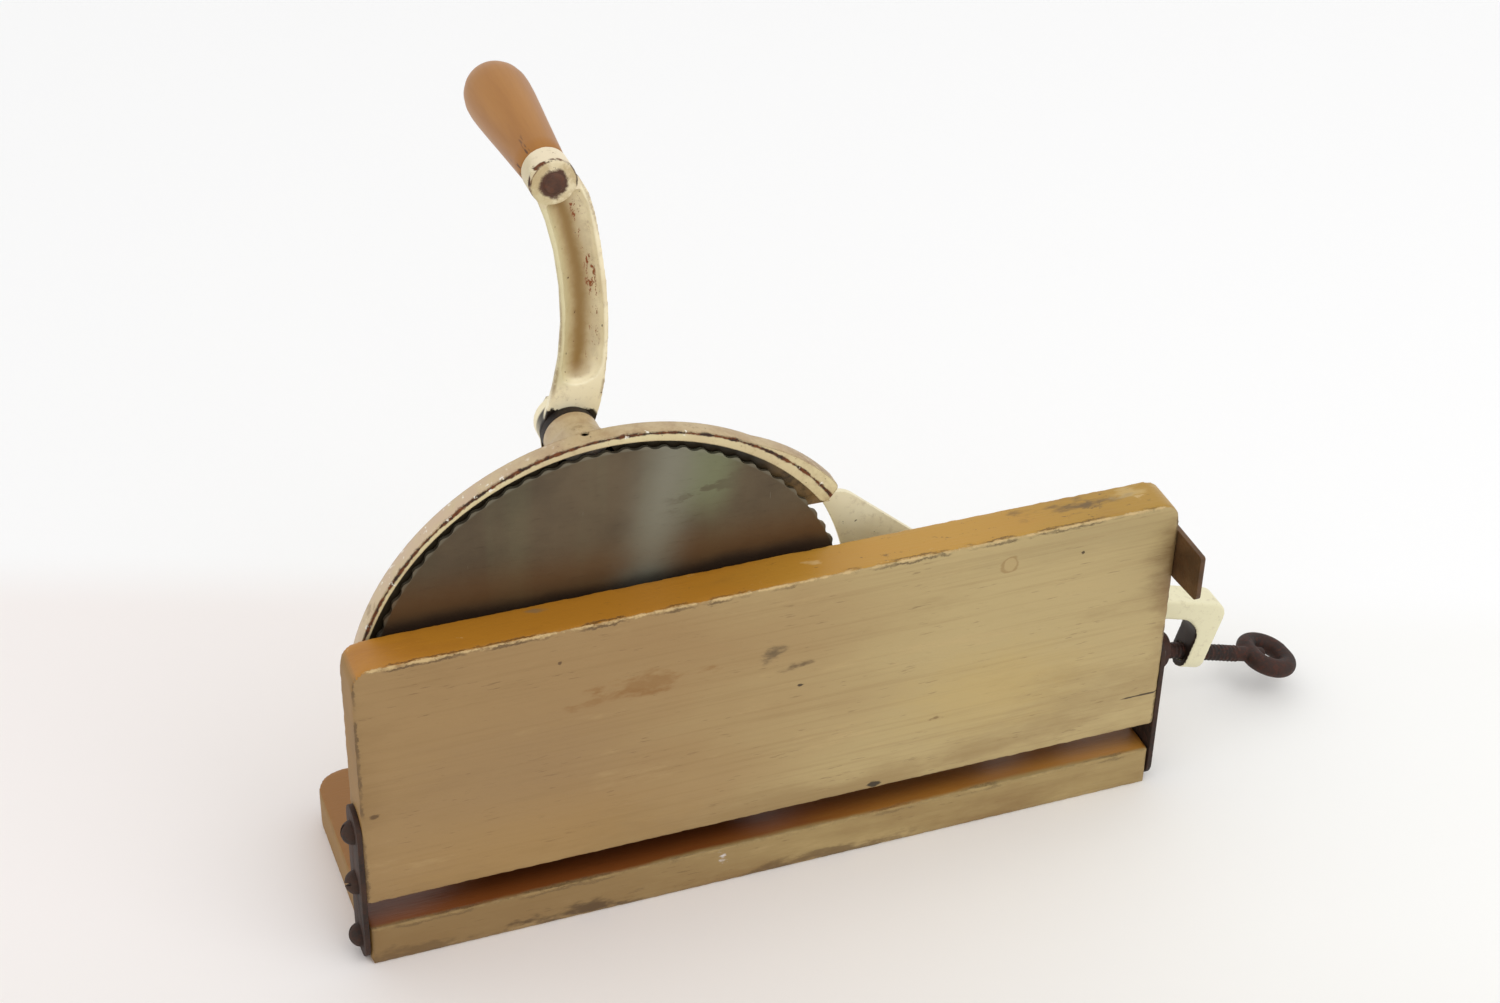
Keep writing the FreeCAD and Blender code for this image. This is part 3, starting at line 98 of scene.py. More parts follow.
# One material and the nodes in it
class Paint:
    def __init__(self, name):
        self.material = bpy.data.materials.new(name)
        self.material.use_nodes = True
        self.tree = self.material.node_tree
        self.tree.nodes.clear()
        self.place = self.node("ShaderNodeTexCoord", {}, {}, "Object")
        split = self.node("ShaderNodeSeparateXYZ", {}, [self.place]).socket.node
        self.x, self.y, self.z = (Field(self, output) for output in split.outputs)

    def node(self, kind, settings, values, output=0):
        made = self.tree.nodes.new(kind)
        for name, setting in settings.items():
            setattr(made, name, setting)
        pairs = enumerate(values) if isinstance(values, list) else values.items()
        for key, value in pairs:
            if isinstance(value, Field):
                self.tree.links.new(value.socket, made.inputs[key])
            else:
                made.inputs[key].default_value = value
        return Field(self, made.outputs[output]) if made.outputs else None

    def vector(self, operation, first, second, output=0):
        return self.node("ShaderNodeVectorMath", {"operation": operation}, [first, second], output)

    def noise(self, scale, stretch=(1, 1, 1), detail=4, roughness=0.55, shift=(0, 0, 0), turn=0):
        settings = {"Vector": self.place, "Location": shift, "Rotation": (0, turn, 0), "Scale": stretch}
        placed = self.node("ShaderNodeMapping", {}, settings)
        values = {"Vector": placed, "Scale": scale, "Detail": detail, "Roughness": roughness}
        return self.node("ShaderNodeTexNoise", {}, values)

    def patterns(self, wanted):  # each entry becomes a noise that the paint is asked for by name
        for name, how in wanted.items():
            setattr(self, name, self.noise(**how))

    def mix(self, share, under, over):
        values = {0: share, 6: linear(under), 7: linear(over)}
        return self.node("ShaderNodeMix", {"data_type": "RGBA"}, values, 2)

    def layers(self, colour, *coats):  # each coat: how much of it shows, and its colour
        for share, coat in coats:
            colour = self.mix(share, colour, coat)
        return colour

    def awayFrom(self, middle):  # how far from a line that runs front to back
        return ((self.x - middle[0]) ** 2 + (self.z - middle[2]) ** 2) ** 0.5

    def facing(self, x, y, z):  # how far the surface looks along a direction
        normal = self.node("ShaderNodeNewGeometry", {}, {}, "True Normal")
        toPiece = {"vector_type": "NORMAL", "convert_from": "WORLD", "convert_to": "OBJECT"}
        turned = self.node("ShaderNodeVectorTransform", toPiece, [normal])  # turns with the piece
        return self.vector("DOT_PRODUCT", turned, (x, y, z), "Value")

    def edge(self, width):  # 0 on flat ground, about 1 on square edges
        bent = self.node("ShaderNodeBevel", {"samples": 4}, {"Radius": width})
        normal = self.node("ShaderNodeNewGeometry", {}, {}, "Normal")
        return (1 - self.vector("DOT_PRODUCT", bent, normal, "Value")) * 4

    def mark(self, place, radius, squeeze, soft, ragged=4):  # round or oval, soft and ragged at its edge
        offset = self.vector("SUBTRACT", self.place, place)
        away = self.vector("LENGTH", self.vector("MULTIPLY", offset, squeeze), (0, 0, 0), "Value")
        fineness = max(260, 1.0 / radius)  # small marks get a finer outline
        wander = (self.noise(fineness, stretch=(0.4, 1, 1)) - 0.5) * radius * soft * ragged
        return (away + wander).below(radius * (1 - soft), radius)

    def finish(self, colour, roughness, metallic=0.0, height=None, depth=0.0005, coat=0.0):
        values = {"Base Color": colour, "Roughness": roughness, "Metallic": metallic,
                  "Coat Weight": coat, "Coat Roughness": 0.2}
        if height is not None:
            values["Normal"] = self.node("ShaderNodeBump", {}, {"Height": height, "Distance": depth})
        surface = self.node("ShaderNodeBsdfPrincipled", {}, values)
        self.node("ShaderNodeOutputMaterial", {}, {"Surface": surface})
        return self.material


def linear(colour):  # a colour of 0 to 255 made linear, unless it comes out of a node
    if isinstance(colour, Field):
        return colour
    return (*((part / 255) ** 2.2 for part in colour), 1)


# Modelling: what the pieces share
meshLook = {"weld": 0.00002, "flatAngle": 0.6, "sharpAngle": 40, "smoothing": 0.5}
quarterTurn = (math.pi / 2, 0, 0)  # what stood upright then runs front to back


def only(piece):  # nothing is selected but this piece
    bpy.ops.object.select_all(action="DESELECT")
    piece.select_set(True)
    bpy.context.view_layer.objects.active = piece


def mode(name):
    bpy.ops.object.mode_set(mode=name)


def named(name):  # the piece just made, its place and turn put into its mesh
    piece = bpy.context.object
    piece.name = name
    only(piece)
    bpy.ops.object.transform_apply(location=True, rotation=True, scale=True)
    return piece


def disc(name, sides, radius, place=(0, 0, 0), turn=(0, 0, 0), fill="NGON"):
    bpy.ops.mesh.primitive_circle_add(vertices=sides, radius=radius, location=place, rotation=turn,
                                      fill_type=fill)
    return named(name)


def pick(piece, kind, test):  # in edit mode: selects what passes the test
    bpy.ops.mesh.select_mode(type=kind)
    bpy.ops.mesh.select_all(action="DESELECT")
    mesh = bmesh.from_edit_mesh(piece.data)
    parts = {"VERT": mesh.verts, "EDGE": mesh.edges, "FACE": mesh.faces}[kind]
    for part in parts:
        part.select_set(bool(test(part)))
    bmesh.update_edit_mesh(piece.data)


def pushed(step):  # in edit mode: draws the picked face out
    bpy.ops.mesh.extrude_region_move(TRANSFORM_OT_translate={"value": step})


def drawn(step, growth, centre):  # and gives it another size
    pushed(step)
    bpy.ops.transform.resize(value=growth, center_override=centre)


def closedUp():  # ends edit mode with every face looking outwards
    bpy.ops.mesh.select_all(action="SELECT")
    bpy.ops.mesh.normals_make_consistent(inside=False)
    mode("OBJECT")


def modify(piece, kind, **settings):
    only(piece)
    modifier = piece.modifiers.new(kind.lower(), kind)
    for name, setting in settings.items():
        setattr(modifier, name, setting)
    bpy.ops.object.modifier_apply(modifier=modifier.name)


def softened(piece, width, segments=2, angle=meshLook["sharpAngle"]):  # rounds off the sharp edges
    modify(piece, "BEVEL", width=width, segments=segments, limit_method="ANGLE",
           angle_limit=math.radians(angle))


def recast(piece, grid, softenings):  # one skin of small squares, smoothed over
    modify(piece, "REMESH", mode="VOXEL", voxel_size=grid)
    modify(piece, "SMOOTH", factor=meshLook["smoothing"], iterations=softenings)


def joined(first, *others):
    only(first)
    for other in others:
        other.select_set(True)
    bpy.ops.object.join()


def cut(piece, cutter):  # takes the cutter's shape out of the piece
    modify(piece, "BOOLEAN", operation="DIFFERENCE", object=cutter, solver="EXACT")
    bpy.data.objects.remove(cutter)


def settle(piece, material, body, node, smooth=35):  # a finished piece gets its finish and body, and its CAD node is hidden
    only(piece)
    bpy.ops.object.transform_apply(location=True, rotation=True, scale=True)
    bpy.ops.object.shade_smooth_by_angle(angle=math.radians(smooth))
    piece.data.materials.clear()
    piece.data.materials.append(material)
    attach(piece, body)
    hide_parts(node)


def merged(node, name):  # a copy of a CAD shape, its loose triangles joined up
    piece = bpy.data.objects.new(name, frame["nodes"][node].data.copy())
    bpy.context.collection.objects.link(piece)
    only(piece)
    mode("EDIT")
    bpy.ops.mesh.select_all(action="SELECT")
    bpy.ops.mesh.remove_doubles(threshold=meshLook["weld"])
    bpy.ops.mesh.dissolve_limited(angle_limit=math.radians(meshLook["flatAngle"]))
    mode("OBJECT")
    return piece


def middleOf(node):
    low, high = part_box(node)
    return (low + high) / 2


# Cream enamel, yellowed and grimy, off at its edges and in specks
enamelLook = {
    "aged": (206, 186, 144), "grime": (138, 108, 72), "pink": (204, 178, 150),
    "chip": (50, 32, 22), "rust": (110, 60, 28), "roughness": 0.4, "thickness": 0.00022,
    "sheet": dict(clean=(236, 226, 192), aged=(218, 204, 166), chips=0.34, specks=0.03, edge=0.0006),
}
enamelPatterns = {
    "cloud": dict(scale=26),
    "fine": dict(scale=320, detail=5, roughness=0.7),
    "ragged": dict(scale=170, detail=6, roughness=0.75, shift=(5, 2, 1)),
    "speck": dict(scale=420, detail=3, roughness=0.7, shift=(1, 7, 3)),
}


def enamelCoat(paint, clean, aged, chips, specks, edge):  # its colour, and where it is off
    paint.patterns(enamelPatterns)
    coat = paint.layers(clean,
        (paint.cloud.between(0.42, 0.7), aged),
        (paint.fine.between(0.52, 0.75) * 0.3, enamelLook["grime"]))
    chipped = (paint.edge(edge) * 0.8 + paint.ragged * 1.2).between(1.22 - chips, 1.3 - chips)
    speck = paint.speck.between(0.74 - specks, 0.77 - specks)
    return coat, chipped.most(speck)


def enamelFinish(paint, coat, bare):  # bare places show dark iron and rust, and lie lower
    look = enamelLook
    rust = paint.mix(paint.fine.between(0.4, 0.6), look["chip"], look["rust"])
    height = (1 - bare) + paint.fine * 0.2
    roughness = look["roughness"] + bare * 0.4 + paint.fine * 0.1
    return paint.finish(paint.mix(bare, coat, rust), roughness, height=height, depth=look["thickness"])


def plainEnamel(name, coatLook):
    paint = Paint(name)
    return enamelFinish(paint, *enamelCoat(paint, **coatLook))


# Steel and iron, browned or rusty
steelLook = {
    "edge": 0.0008, "bump": 0.00025,
    # bright, dark and rusty colour, how metallic, and how rough
    "dark": ((60, 39, 26), (34, 22, 14), (76, 42, 24), 0.1, 0.62),
    "brown": ((112, 84, 56), (76, 54, 34), (98, 62, 32), 0.3, 0.36),
    "gear": ((110, 104, 96), (66, 58, 50), (92, 58, 34), 0.6, 0.45),
    "black": ((44, 34, 28), (24, 18, 14), (60, 38, 24), 0.3, 0.5),
    "rusty": ((58, 34, 24), (28, 18, 12), (90, 44, 26), 0.1, 0.6),
    "rivet": ((98, 66, 50), (60, 38, 28), (104, 60, 38), 0.1, 0.6),
}


def steel(name, bright, dark, rust, metallic, rough):
    paint = Paint(name)
    cloud = paint.noise(45, detail=5, roughness=0.65)
    fine = paint.noise(500, detail=5, roughness=0.7)
    colour = paint.layers(dark,
        (cloud.between(0.35, 0.65), bright),
        (fine.between(0.45, 0.7) * 0.6, rust),
        ((paint.edge(steelLook["edge"]) * fine * 1.6).between(0.2, 0.7) * 0.5, bright))
    height = fine + cloud * 0.5
    return paint.finish(colour, rough + fine * 0.2, metallic, height=height, depth=steelLook["bump"])


# The blade: a dull disc, brown above the board's edge as painted reflection of the board, darker right
# along that edge as painted shade, with a slanting pale painted sheen and a greenish painted reflection
# beside it
bladeLook = {
    "dark": (86, 74, 58), "brown": (104, 90, 70), "boardReflection": (116, 78, 38),
    "sheen": (134, 132, 116), "green": (122, 126, 96), "scratch": (60, 48, 34),
    "boardEdgeShade": (30, 32, 38),
    "boardHeight": 0.1385, "sheenLean": 0.176, "sheenPlace": -0.0698, "sheenWidth": 0.024,
    "greenPlace": 0.015, "rimWidth": 0.0016,
}
bladePatterns = {
    "cloud": dict(scale=22, detail=5),
    "fine": dict(scale=260, stretch=(0.5, 1, 1.8), detail=6, roughness=0.7),
    "spots": dict(scale=90, detail=5, roughness=0.7, shift=(2, 8, 1)),
    "patch": dict(scale=75, stretch=(0.6, 1, 1.8), detail=5, roughness=0.65, shift=(6, 3, 5)),
    "streak": dict(scale=60, stretch=(1, 1, 0.1), detail=3, shift=(1, 2, 9)),
    "scratch": dict(scale=700, stretch=(1, 1, 0.08), detail=2, shift=(5, 5, 5), turn=0.5),
}


def bladeSteel(name):
    look = bladeLook
    paint = Paint(name)
    paint.patterns(bladePatterns)
    cloud, fine = paint.cloud, paint.fine
    low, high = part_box("blade")
    radius = (high[0] - low[0]) / 2
    # how far above the board's edge; the painted reflection and painted shade of the board follow it
    line = paint.z - look["boardHeight"] + (cloud - 0.5) * 0.012
    slant = paint.x - paint.z * look["sheenLean"] - look["sheenPlace"]
    slant = slant + (cloud - 0.5) * 0.01 + (fine - 0.5) * 0.003
    # painted sheen: a pale slanting band; a greenish painted reflection lies beside it, above the board
    sheen = slant.size().below(0, look["sheenWidth"])
    green = (slant - look["greenPlace"]).size().below(0.004, 0.018) * line.between(0.018, 0.038)
    scratches = paint.scratch.between(0.74, 0.77)
    away = paint.awayFrom((low + high) / 2) + (fine - 0.5) * 0.001
    rim = away.between(radius - look["rimWidth"], radius - look["rimWidth"] / 2)
    colour = paint.layers(look["dark"],
        (cloud.between(0.35, 0.7), look["brown"]),
        (paint.streak.between(0.4, 0.7) * 0.15, look["green"]),
        # painted reflection of the board: brown above its edge
        (line.below(0.004, 0.026) * 0.55, look["boardReflection"]),
        # greenish painted reflection, then the painted sheen
        (green * 0.85, look["green"]),
        (sheen * sheen * 0.85, look["sheen"]),
        (paint.patch.between(0.58, 0.66) * green * 0.6, look["dark"]),
        # painted shade: dark right along the board's edge
        (line.below(0, 0.007) * 0.6, look["boardEdgeShade"]),
        (fine.between(0.55, 0.8) * 0.3, look["scratch"]),
        (paint.spots.between(0.66, 0.74) * 0.4, look["scratch"]),
        (scratches * 0.4, look["sheen"]),
        (rim * 0.4, look["sheen"]))
    return paint.finish(colour, 0.4 + fine * 0.25, 0.4, height=fine - scratches * 0.5, depth=0.0001)


def dress(nodes, material):  # gives CAD nodes a finish in all their slots
    for node in nodes:
        for slot in frame["nodes"][node].material_slots:
            slot.material = material


sheetEnamel = plainEnamel("sheetEnamel", enamelLook["sheet"])
darkSteel = steel("darkSteel", *steelLook["dark"])
brownSteel = steel("brownSteel", *steelLook["brown"])
rustySteel = steel("rustySteel", *steelLook["rusty"])
dress(["clamp_bracket", "clamp_pivot_bolt", "clamp_pivot_nut", "stop_studs", "stop_washers",
       "wing_nut_left", "wing_nut_right", "axle_nut"], darkSteel)
dress(["crank_nut"], sheetEnamel)
dress(["clamp_pad"], rustySteel)
dress(["handle_spindle"], steel("rustyRivet", *steelLook["rivet"]))
dress(["crank_washer"], steel("blackSteel", *steelLook["black"]))
dress(["blade_gear", "crank_pinion", "crank_shaft", "gear_rivets", "blade_axle"],
      steel("gearIron", *steelLook["gear"]))
dress(["blade"], bladeSteel("bladeSteel"))
print("plain finishes made")


# The two boards: solid wood, their edges worn and chipped
boardLook = {"grid": 0.0011, "wearDepth": 0.0005, "wearReach": 0.003, "chipSize": 0.004, "contrast": 1.6}
woodLook = {
    "smoke": (132, 102, 60), "fleck": (92, 66, 38), "pale": (196, 168, 118), "bare": (214, 184, 132),
    # the varnish gets lighter to the right, partly its tone and partly painted light
    "varnishLeft": (176, 118, 34), "varnishRight": (170, 130, 46), "dirt": (66, 46, 28),
    # shade, deepShade and shadeRight also paint the shadow that the tray casts on the base's top
    "golden": (196, 150, 62), "end": (148, 112, 60), "shade": (128, 72, 32),
    "deepShade": (78, 40, 22), "shadeRight": (176, 122, 52), "behind": (146, 98, 40),
    "relief": 0.0003,
}
woodPatterns = {
    "broad": dict(scale=11, stretch=(0.5, 1, 1)),
    "smoke": dict(scale=46, stretch=(0.28, 1, 1), detail=6, roughness=0.65, shift=(2, 5, 1), turn=0.02),
    "grain": dict(scale=700, stretch=(0.02, 1, 1), roughness=0.6, turn=0.02),
    "dash": dict(scale=1200, stretch=(0.1, 1, 1), detail=2, shift=(3, 1, 2), turn=0.02),
    "fleck": dict(scale=420, stretch=(0.4, 1, 1), roughness=0.8, shift=(7, 4, 1), turn=0.02),
    "thin": dict(scale=60, detail=3, shift=(1, 1, 7)),
    "scuff": dict(scale=140, stretch=(0.4, 0.6, 1), detail=6, roughness=0.75, shift=(4, 9, 2)),
    "ragged": dict(scale=330, stretch=(0.5, 1, 0.8), detail=6, roughness=0.8),
    "patch": dict(scale=55, detail=3, shift=(8, 1, 3)),
}
trayLook = {
    # the face gets lighter to the right: partly the wood's tone, partly painted light
    "corner": 0.008, "left": (158, 127, 84), "right": (184, 162, 114),
    "footDarkening": 0.35, "bareEdge": 0.8, "dirtyEdge": 0.6,
    # soft shades: place, radius, squeeze, strength, colour; the first two are the hook's painted shadow on
    # the board
    "shades": [
        ((0.17, -0.048, 0.113), 0.034, (1.6, 1, 0.9), 0.75, (112, 78, 40)),
        ((0.17, -0.048, 0.094), 0.03, (1.9, 1, 0.6), 0.55, (112, 78, 40)),
        ((-0.1, -0.048, 0.08), 0.05, (0.7, 1, 1.2), 0.3, (146, 118, 84)),
        ((-0.098, -0.048, 0.04), 0.05, (0.6, 1, 1.3), 0.3, (170, 134, 76)),
        ((0.09, -0.048, 0.07), 0.045, (0.8, 1, 1.5), 0.3, (196, 166, 98)),
        ((0.13, -0.048, 0.135), 0.04, (0.5, 1, 3), 0.3, (150, 130, 90)),
    ],
    # stains, dents and scuffs: place, radius, squeeze, raggedness, strength, colour
    "marks": [
        ((-0.054, -0.048, 0.1102), 0.019, (0.8, 1, 3.4), 0.9, 0.6, (138, 98, 50)),
        ((-0.069, -0.048, 0.1062), 0.014, (0.8, 1, 3.6), 1, 0.5, (138, 98, 50)),
        ((-0.0032, -0.048, 0.11), 0.005, (0.8, 1, 1.3), 1.3, 0.7, (70, 56, 40)),
        ((0.0072, -0.048, 0.1015), 0.005, (0.8, 1, 2.2), 1.3, 0.7, (76, 56, 36)),
        ((0.0075, -0.048, 0.0927), 0.0012, (0.8, 1, 1.5), 0.5, 0.9, (50, 36, 24)),
        ((0.0414, -0.048, 0.0339), 0.0019, (0.6, 1, 1), 0.5, 0.9, (34, 24, 16)),
        ((0.1237, -0.048, 0.1283), 0.0009, (1, 1, 1), 0.4, 0.9, (60, 42, 26)),
        ((-0.0876, -0.048, 0.1278), 0.0009, (1, 1, 1), 0.4, 0.8, (84, 58, 34)),
        ((0.0657, -0.048, 0.0608), 0.0018, (0.5, 1, 1.6), 0.9, 0.6, (110, 80, 46)),
        ((-0.16, -0.048, 0.0741), 0.0014, (0.7, 1, 1), 0.6, 0.8, (84, 60, 34)),
        ((0.0926, -0.048, 0.1294), 0.0042, (1, 1, 1), 0.2, 0.5, (142, 108, 60)),
        ((0.0926, -0.048, 0.1294), 0.0031, (1, 1, 1), 0.2, 0.9, (180, 156, 108)),
        ((0.157, -0.048, 0.0484), 0.012, (1, 1, 22), 0.5, 0.9, (50, 34, 20)),
        ((-0.093, -0.033, 0.1427), 0.003, (0.7, 1.4, 1), 0.8, 0.7, (130, 108, 78)),
        ((0.12, -0.036, 0.142), 0.007, (0.4, 1.5, 1), 1.3, 0.6, (92, 70, 40)),
        ((0.136, -0.036, 0.142), 0.005, (0.4, 1.5, 1), 1.3, 0.6, (92, 70, 40)),
        ((0.1484, -0.034, 0.142), 0.006, (0.5, 1.5, 1), 1, 0.5, (206, 178, 120)),
        ((0.015, -0.038, 0.142), 0.003, (0.6, 1.5, 1), 1, 0.6, (214, 184, 132)),
    ],
}
baseLook = {
    "frontCorner": 0.002, "rearCorner": 0.013, "slotGap": 0.002, "slotHalfLength": 0.05,
    # the face gets lighter to the right: partly the wood's tone, partly painted light
    "left": (142, 114, 72), "right": (164, 140, 92),
    "footDarkening": 0.8, "bareEdge": 0.15, "dirtyEdge": 0.25, "shades": [],
    "marks": [
        ((-0.0229, -0.048, 0.0136), 0.0015, (1.2, 1, 0.5), 1.5, 0.85, (226, 220, 222)),
        ((-0.0222, -0.048, 0.0118), 0.0012, (0.8, 1, 0.9), 1.5, 0.8, (216, 208, 206)),
        ((-0.0777, -0.048, 0.003), 0.016, (0.5, 1, 4), 0.9, 0.8, (76, 54, 30)),
        ((0.03, -0.048, 0.002), 0.02, (0.4, 1, 5), 0.9, 0.6, (86, 62, 36)),
        ((-0.15, -0.048, 0.002), 0.02, (0.5, 1, 4), 0.9, 0.5, (90, 66, 38)),
    ],
}


def woodFace(paint, low, board, even):  # smoky wood with grain, dashes, flecks, darker towards the foot and left end, and soft shades, some of them painted shadow
    look = woodLook
    smoke = paint.smoke
    dashes = paint.dash.between(0.64, 0.72) * paint.thin.between(0.45, 0.6)
    # darker towards the foot and the left end
    grime = (paint.z - low[2]).below(0, 0.024).most((paint.x - low[0]).below(0, 0.014))
    face = paint.layers(even,
        ((paint.broad * 0.4 + smoke * 0.6).between(0.48, 0.66) * 0.34, look["smoke"]),
        (smoke.below(0.3, 0.42) * 0.3, look["pale"]),
        (paint.grain.between(0.45, 0.75) * 0.22, look["smoke"]),
        (dashes * 0.4, look["fleck"]),
        (paint.fleck.between(0.71, 0.77) * 0.5, look["fleck"]),
        (grime * smoke.between(0.35, 0.65) * board["footDarkening"], look["smoke"]))
    for place, radius, squeeze, strength, colour in board["shades"]:
        face = paint.mix(paint.mark(place, radius, squeeze, 0.95, 0.8) * strength, face, colour)
    return face


def woodVarnish(paint, share):  # yellow varnish on top, lighter to the right partly as painted light, scuffed and dirty
    look = woodLook
    smoke = paint.smoke
    return paint.layers(look["varnishLeft"],
        ((share + (smoke - 0.5) * 0.7).between(0.3, 0.95), look["varnishRight"]),
        ((share - 0.66).size().below(0.04, 0.26) * 0.5, look["golden"]),
        (smoke.between(0.5, 0.65) * 0.2, look["shade"]),
        (paint.scuff.between(0.64, 0.69) * 0.5, look["bare"]),
        ((paint.fleck + share * 0.06).between(0.67, 0.72) * (0.3 + share * 0.5), look["dirt"]))


def woodShade(paint, share, low, even):  # the strip in front of the tray is darker and redder as painted shadow of the tray, darkest close to it
    look = woodLook
    smoke = paint.smoke
    inward = paint.y - low[1] + (smoke - 0.5) * 0.008
    shade = paint.layers(look["shade"],
        ((share + (smoke - 0.5) * 0.8).between(0.3, 1), look["shadeRight"]),
        (inward.between(0.003, 0.013) * 0.7, look["deepShade"]))
    return paint.layers(even,
        (inward.between(0.0005, 0.003), shade),
        (inward.between(0.022, 0.03), look["behind"]))


def woodWear(paint, low, high):  # bare upper edge, a dirty line along it, dirty corners
    patch = paint.patch
    rub = (paint.ragged - 0.5) * 0.005
    toTop = (high[2] - paint.z).size()
    toFront = (paint.y - low[1]).size()
    toEnd = (paint.x - low[0]).least(high[0] - paint.x).size()
    reach = toTop.most(toFront) - rub
    corner = toEnd.most(toFront) - rub
    bare = reach.below(0.0004, 0.0012) * patch.between(0.3, 0.4)
    line = (reach - 0.0014).size().below(0.0001, 0.0006) * patch.below(0.42, 0.55)
    worn = (corner - 0.0005).size().below(0.0002, 0.0009) * patch.between(0.4, 0.55)
    return bare, line, worn


def boardWood(name, low, high, board, shadedTop):
    look = woodLook
    paint = Paint(name)
    paint.patterns(woodPatterns)
    share = (paint.x - low[0]) * (1 / (high[0] - low[0]))
    # lighter to the right, partly the wood's tone and partly painted light
    rightwards = (share + (paint.broad - 0.5) * 0.8).between(0.15, 0.75)
    even = paint.mix(rightwards, board["left"], board["right"])
    if shadedTop:
        top = woodShade(paint, share, low, even)
    else:
        top = woodVarnish(paint, share)
    cutEnd = paint.mix(paint.patch.between(0.4, 0.7) * 0.6, look["end"], look["smoke"])
    up = paint.facing(0, 0, 1).between(0.45, 0.75)
    wood = paint.layers(woodFace(paint, low, board, even),
        (paint.facing(1, 0, 0).size().between(0.6, 0.9), cutEnd),
        (up, top))
    for place, radius, squeeze, soft, strength, colour in board["marks"]:
        wood = paint.mix(paint.mark(place, radius, squeeze, soft) * strength, wood, colour)
    bare, line, worn = woodWear(paint, low, high)
    wood = paint.layers(wood,
        (bare * board["bareEdge"], look["bare"]),
        (line * board["dirtyEdge"], look["dirt"]),
        (worn * (1 - up) * board["dirtyEdge"], look["dirt"]))
    height = paint.dash * -0.3 + paint.grain * 0.2 - line * 0.6 - bare * paint.ragged
    roughness = 0.64 - up * 0.22 + bare * 0.2
    return paint.finish(wood, roughness, height=height, depth=look["relief"])


def wornBoard(name, low, high, corners, slot=None):  # corners: which edges are rounded, and how far
    bpy.ops.mesh.primitive_cube_add(size=1, location=(low + high) / 2, scale=high - low)
    board = named(name)
    mode("EDIT")
    for rounded, corner in corners:
        pick(board, "EDGE", rounded)
        bpy.ops.mesh.bevel(offset=corner, segments=6)
    mode("OBJECT")
    if slot:
        cut(board, slot)
    modify(board, "REMESH", mode="VOXEL", voxel_size=boardLook["grid"])
    wearEdges(board, low, high)
    return board


def wearEdges(board, low, high):  # presses the wood in beside its edges, unevenly
    look = boardLook
    rim = board.vertex_groups.new(name="rim")
    for point in board.data.vertices:
        depths = sorted(min(point.co[side] - low[side], high[side] - point.co[side]) for side in range(3))
        weight = 1 - depths[1] / look["wearReach"]
        if weight > 0:
            rim.add([point.index], weight ** 2, "REPLACE")
    wear = bpy.data.textures.new(board.name + "Wear", "CLOUDS")
    wear.noise_scale = look["chipSize"]
    wear.noise_depth = 4
    wear.contrast = look["contrast"]
    modify(board, "DISPLACE", texture=wear, texture_coords="LOCAL", strength=look["wearDepth"],
           mid_level=1.0, vertex_group="rim")
    board.vertex_groups.clear()


def edgeFinder(running, side, level):  # finds edges that run one way and lie at a level on a side
    def found(edge):
        first, second = (corner.co for corner in edge.verts)
        atLevel = all(abs(end[side] - level) < 0.0001 for end in (first, second))
        return atLevel and abs(first[running] - second[running]) > 0.001
    return found


def trayBoard():
    low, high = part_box("tray_board")
    upperEnds = edgeFinder(1, 2, high[2])
    board = wornBoard("trayBoard", low, high, [(upperEnds, trayLook["corner"])])
    settle(board, boardWood("trayWood", low, high, trayLook, False), "tray", "tray_board")


def bladeSlot(top):  # the blade and its gear reach down into the base board
    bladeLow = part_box("blade")[0]
    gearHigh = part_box("blade_gear")[1]
    ahead, behind = bladeLow[1] - baseLook["slotGap"], gearHigh[1] + baseLook["slotGap"]
    place = (middleOf("blade")[0], (ahead + behind) / 2, top)
    size = (baseLook["slotHalfLength"] * 2, behind - ahead, top * 4)
    bpy.ops.mesh.primitive_cube_add(size=1, location=place, scale=size)
    return named("bladeSlot")


def baseBoard():
    low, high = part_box("base_board")
    corners = [(edgeFinder(2, 1, high[1]), baseLook["rearCorner"]),
               (edgeFinder(2, 1, low[1]), baseLook["frontCorner"])]
    board = wornBoard("baseBoard", low, high, corners, bladeSlot(high[2]))
    settle(board, boardWood("baseWood", low, high, baseLook, True), "base_frame", "base_board")


trayBoard()
baseBoard()
print("boards made")


# The housing keeps its machined shape with softened edges
housingLook = {
    "softness": 0.0007, "ringInner": 0.0996, "ringOuter": 0.10335, "ringShift": 0.0014,
    "caseFront": -0.0124,
    "coat": dict(clean=(218, 202, 156), aged=enamelLook["aged"], chips=0.06, specks=0.05, edge=0.001),
    "tan": (172, 144, 106), "white": (244, 238, 224),
    # behind the blade the colours are painted shade with dust in it; at the ring's open end, dirt with
    # painted light
    "inside": (34, 26, 18), "insideDust": (62, 54, 38), "insideDirtAndLight": (140, 112, 74),
}
housingPatterns = {
    "mottle": dict(scale=75, detail=6, roughness=0.75, shift=(4, 4, 9)),
    "bits": dict(scale=240, shift=(9, 9, 2)),
}


def housingFlanks(paint):  # tan on all that doesn't face forwards, pinker to the left
    look = housingLook
    mottle = paint.mottle
    left = paint.right.below(-0.07, 0)
    tan = paint.layers(look["tan"],
        (left, enamelLook["pink"]),
        (mottle.between(0.38, 0.6) * 0.6, enamelLook["aged"]),
        (mottle.between(0.58, 0.68) * 0.6, enamelLook["grime"]),
        (paint.fine.between(0.6, 0.66) * left, look["white"]))
    ring = paint.away.between(look["ringInner"] - 0.0015, look["ringInner"] + 0.0005)
    neck = paint.awayFrom(middleOf("crank_shaft")).below(0.0125, 0.015)
    return (1 - paint.ahead) * ring.most(neck) * 0.95, tan


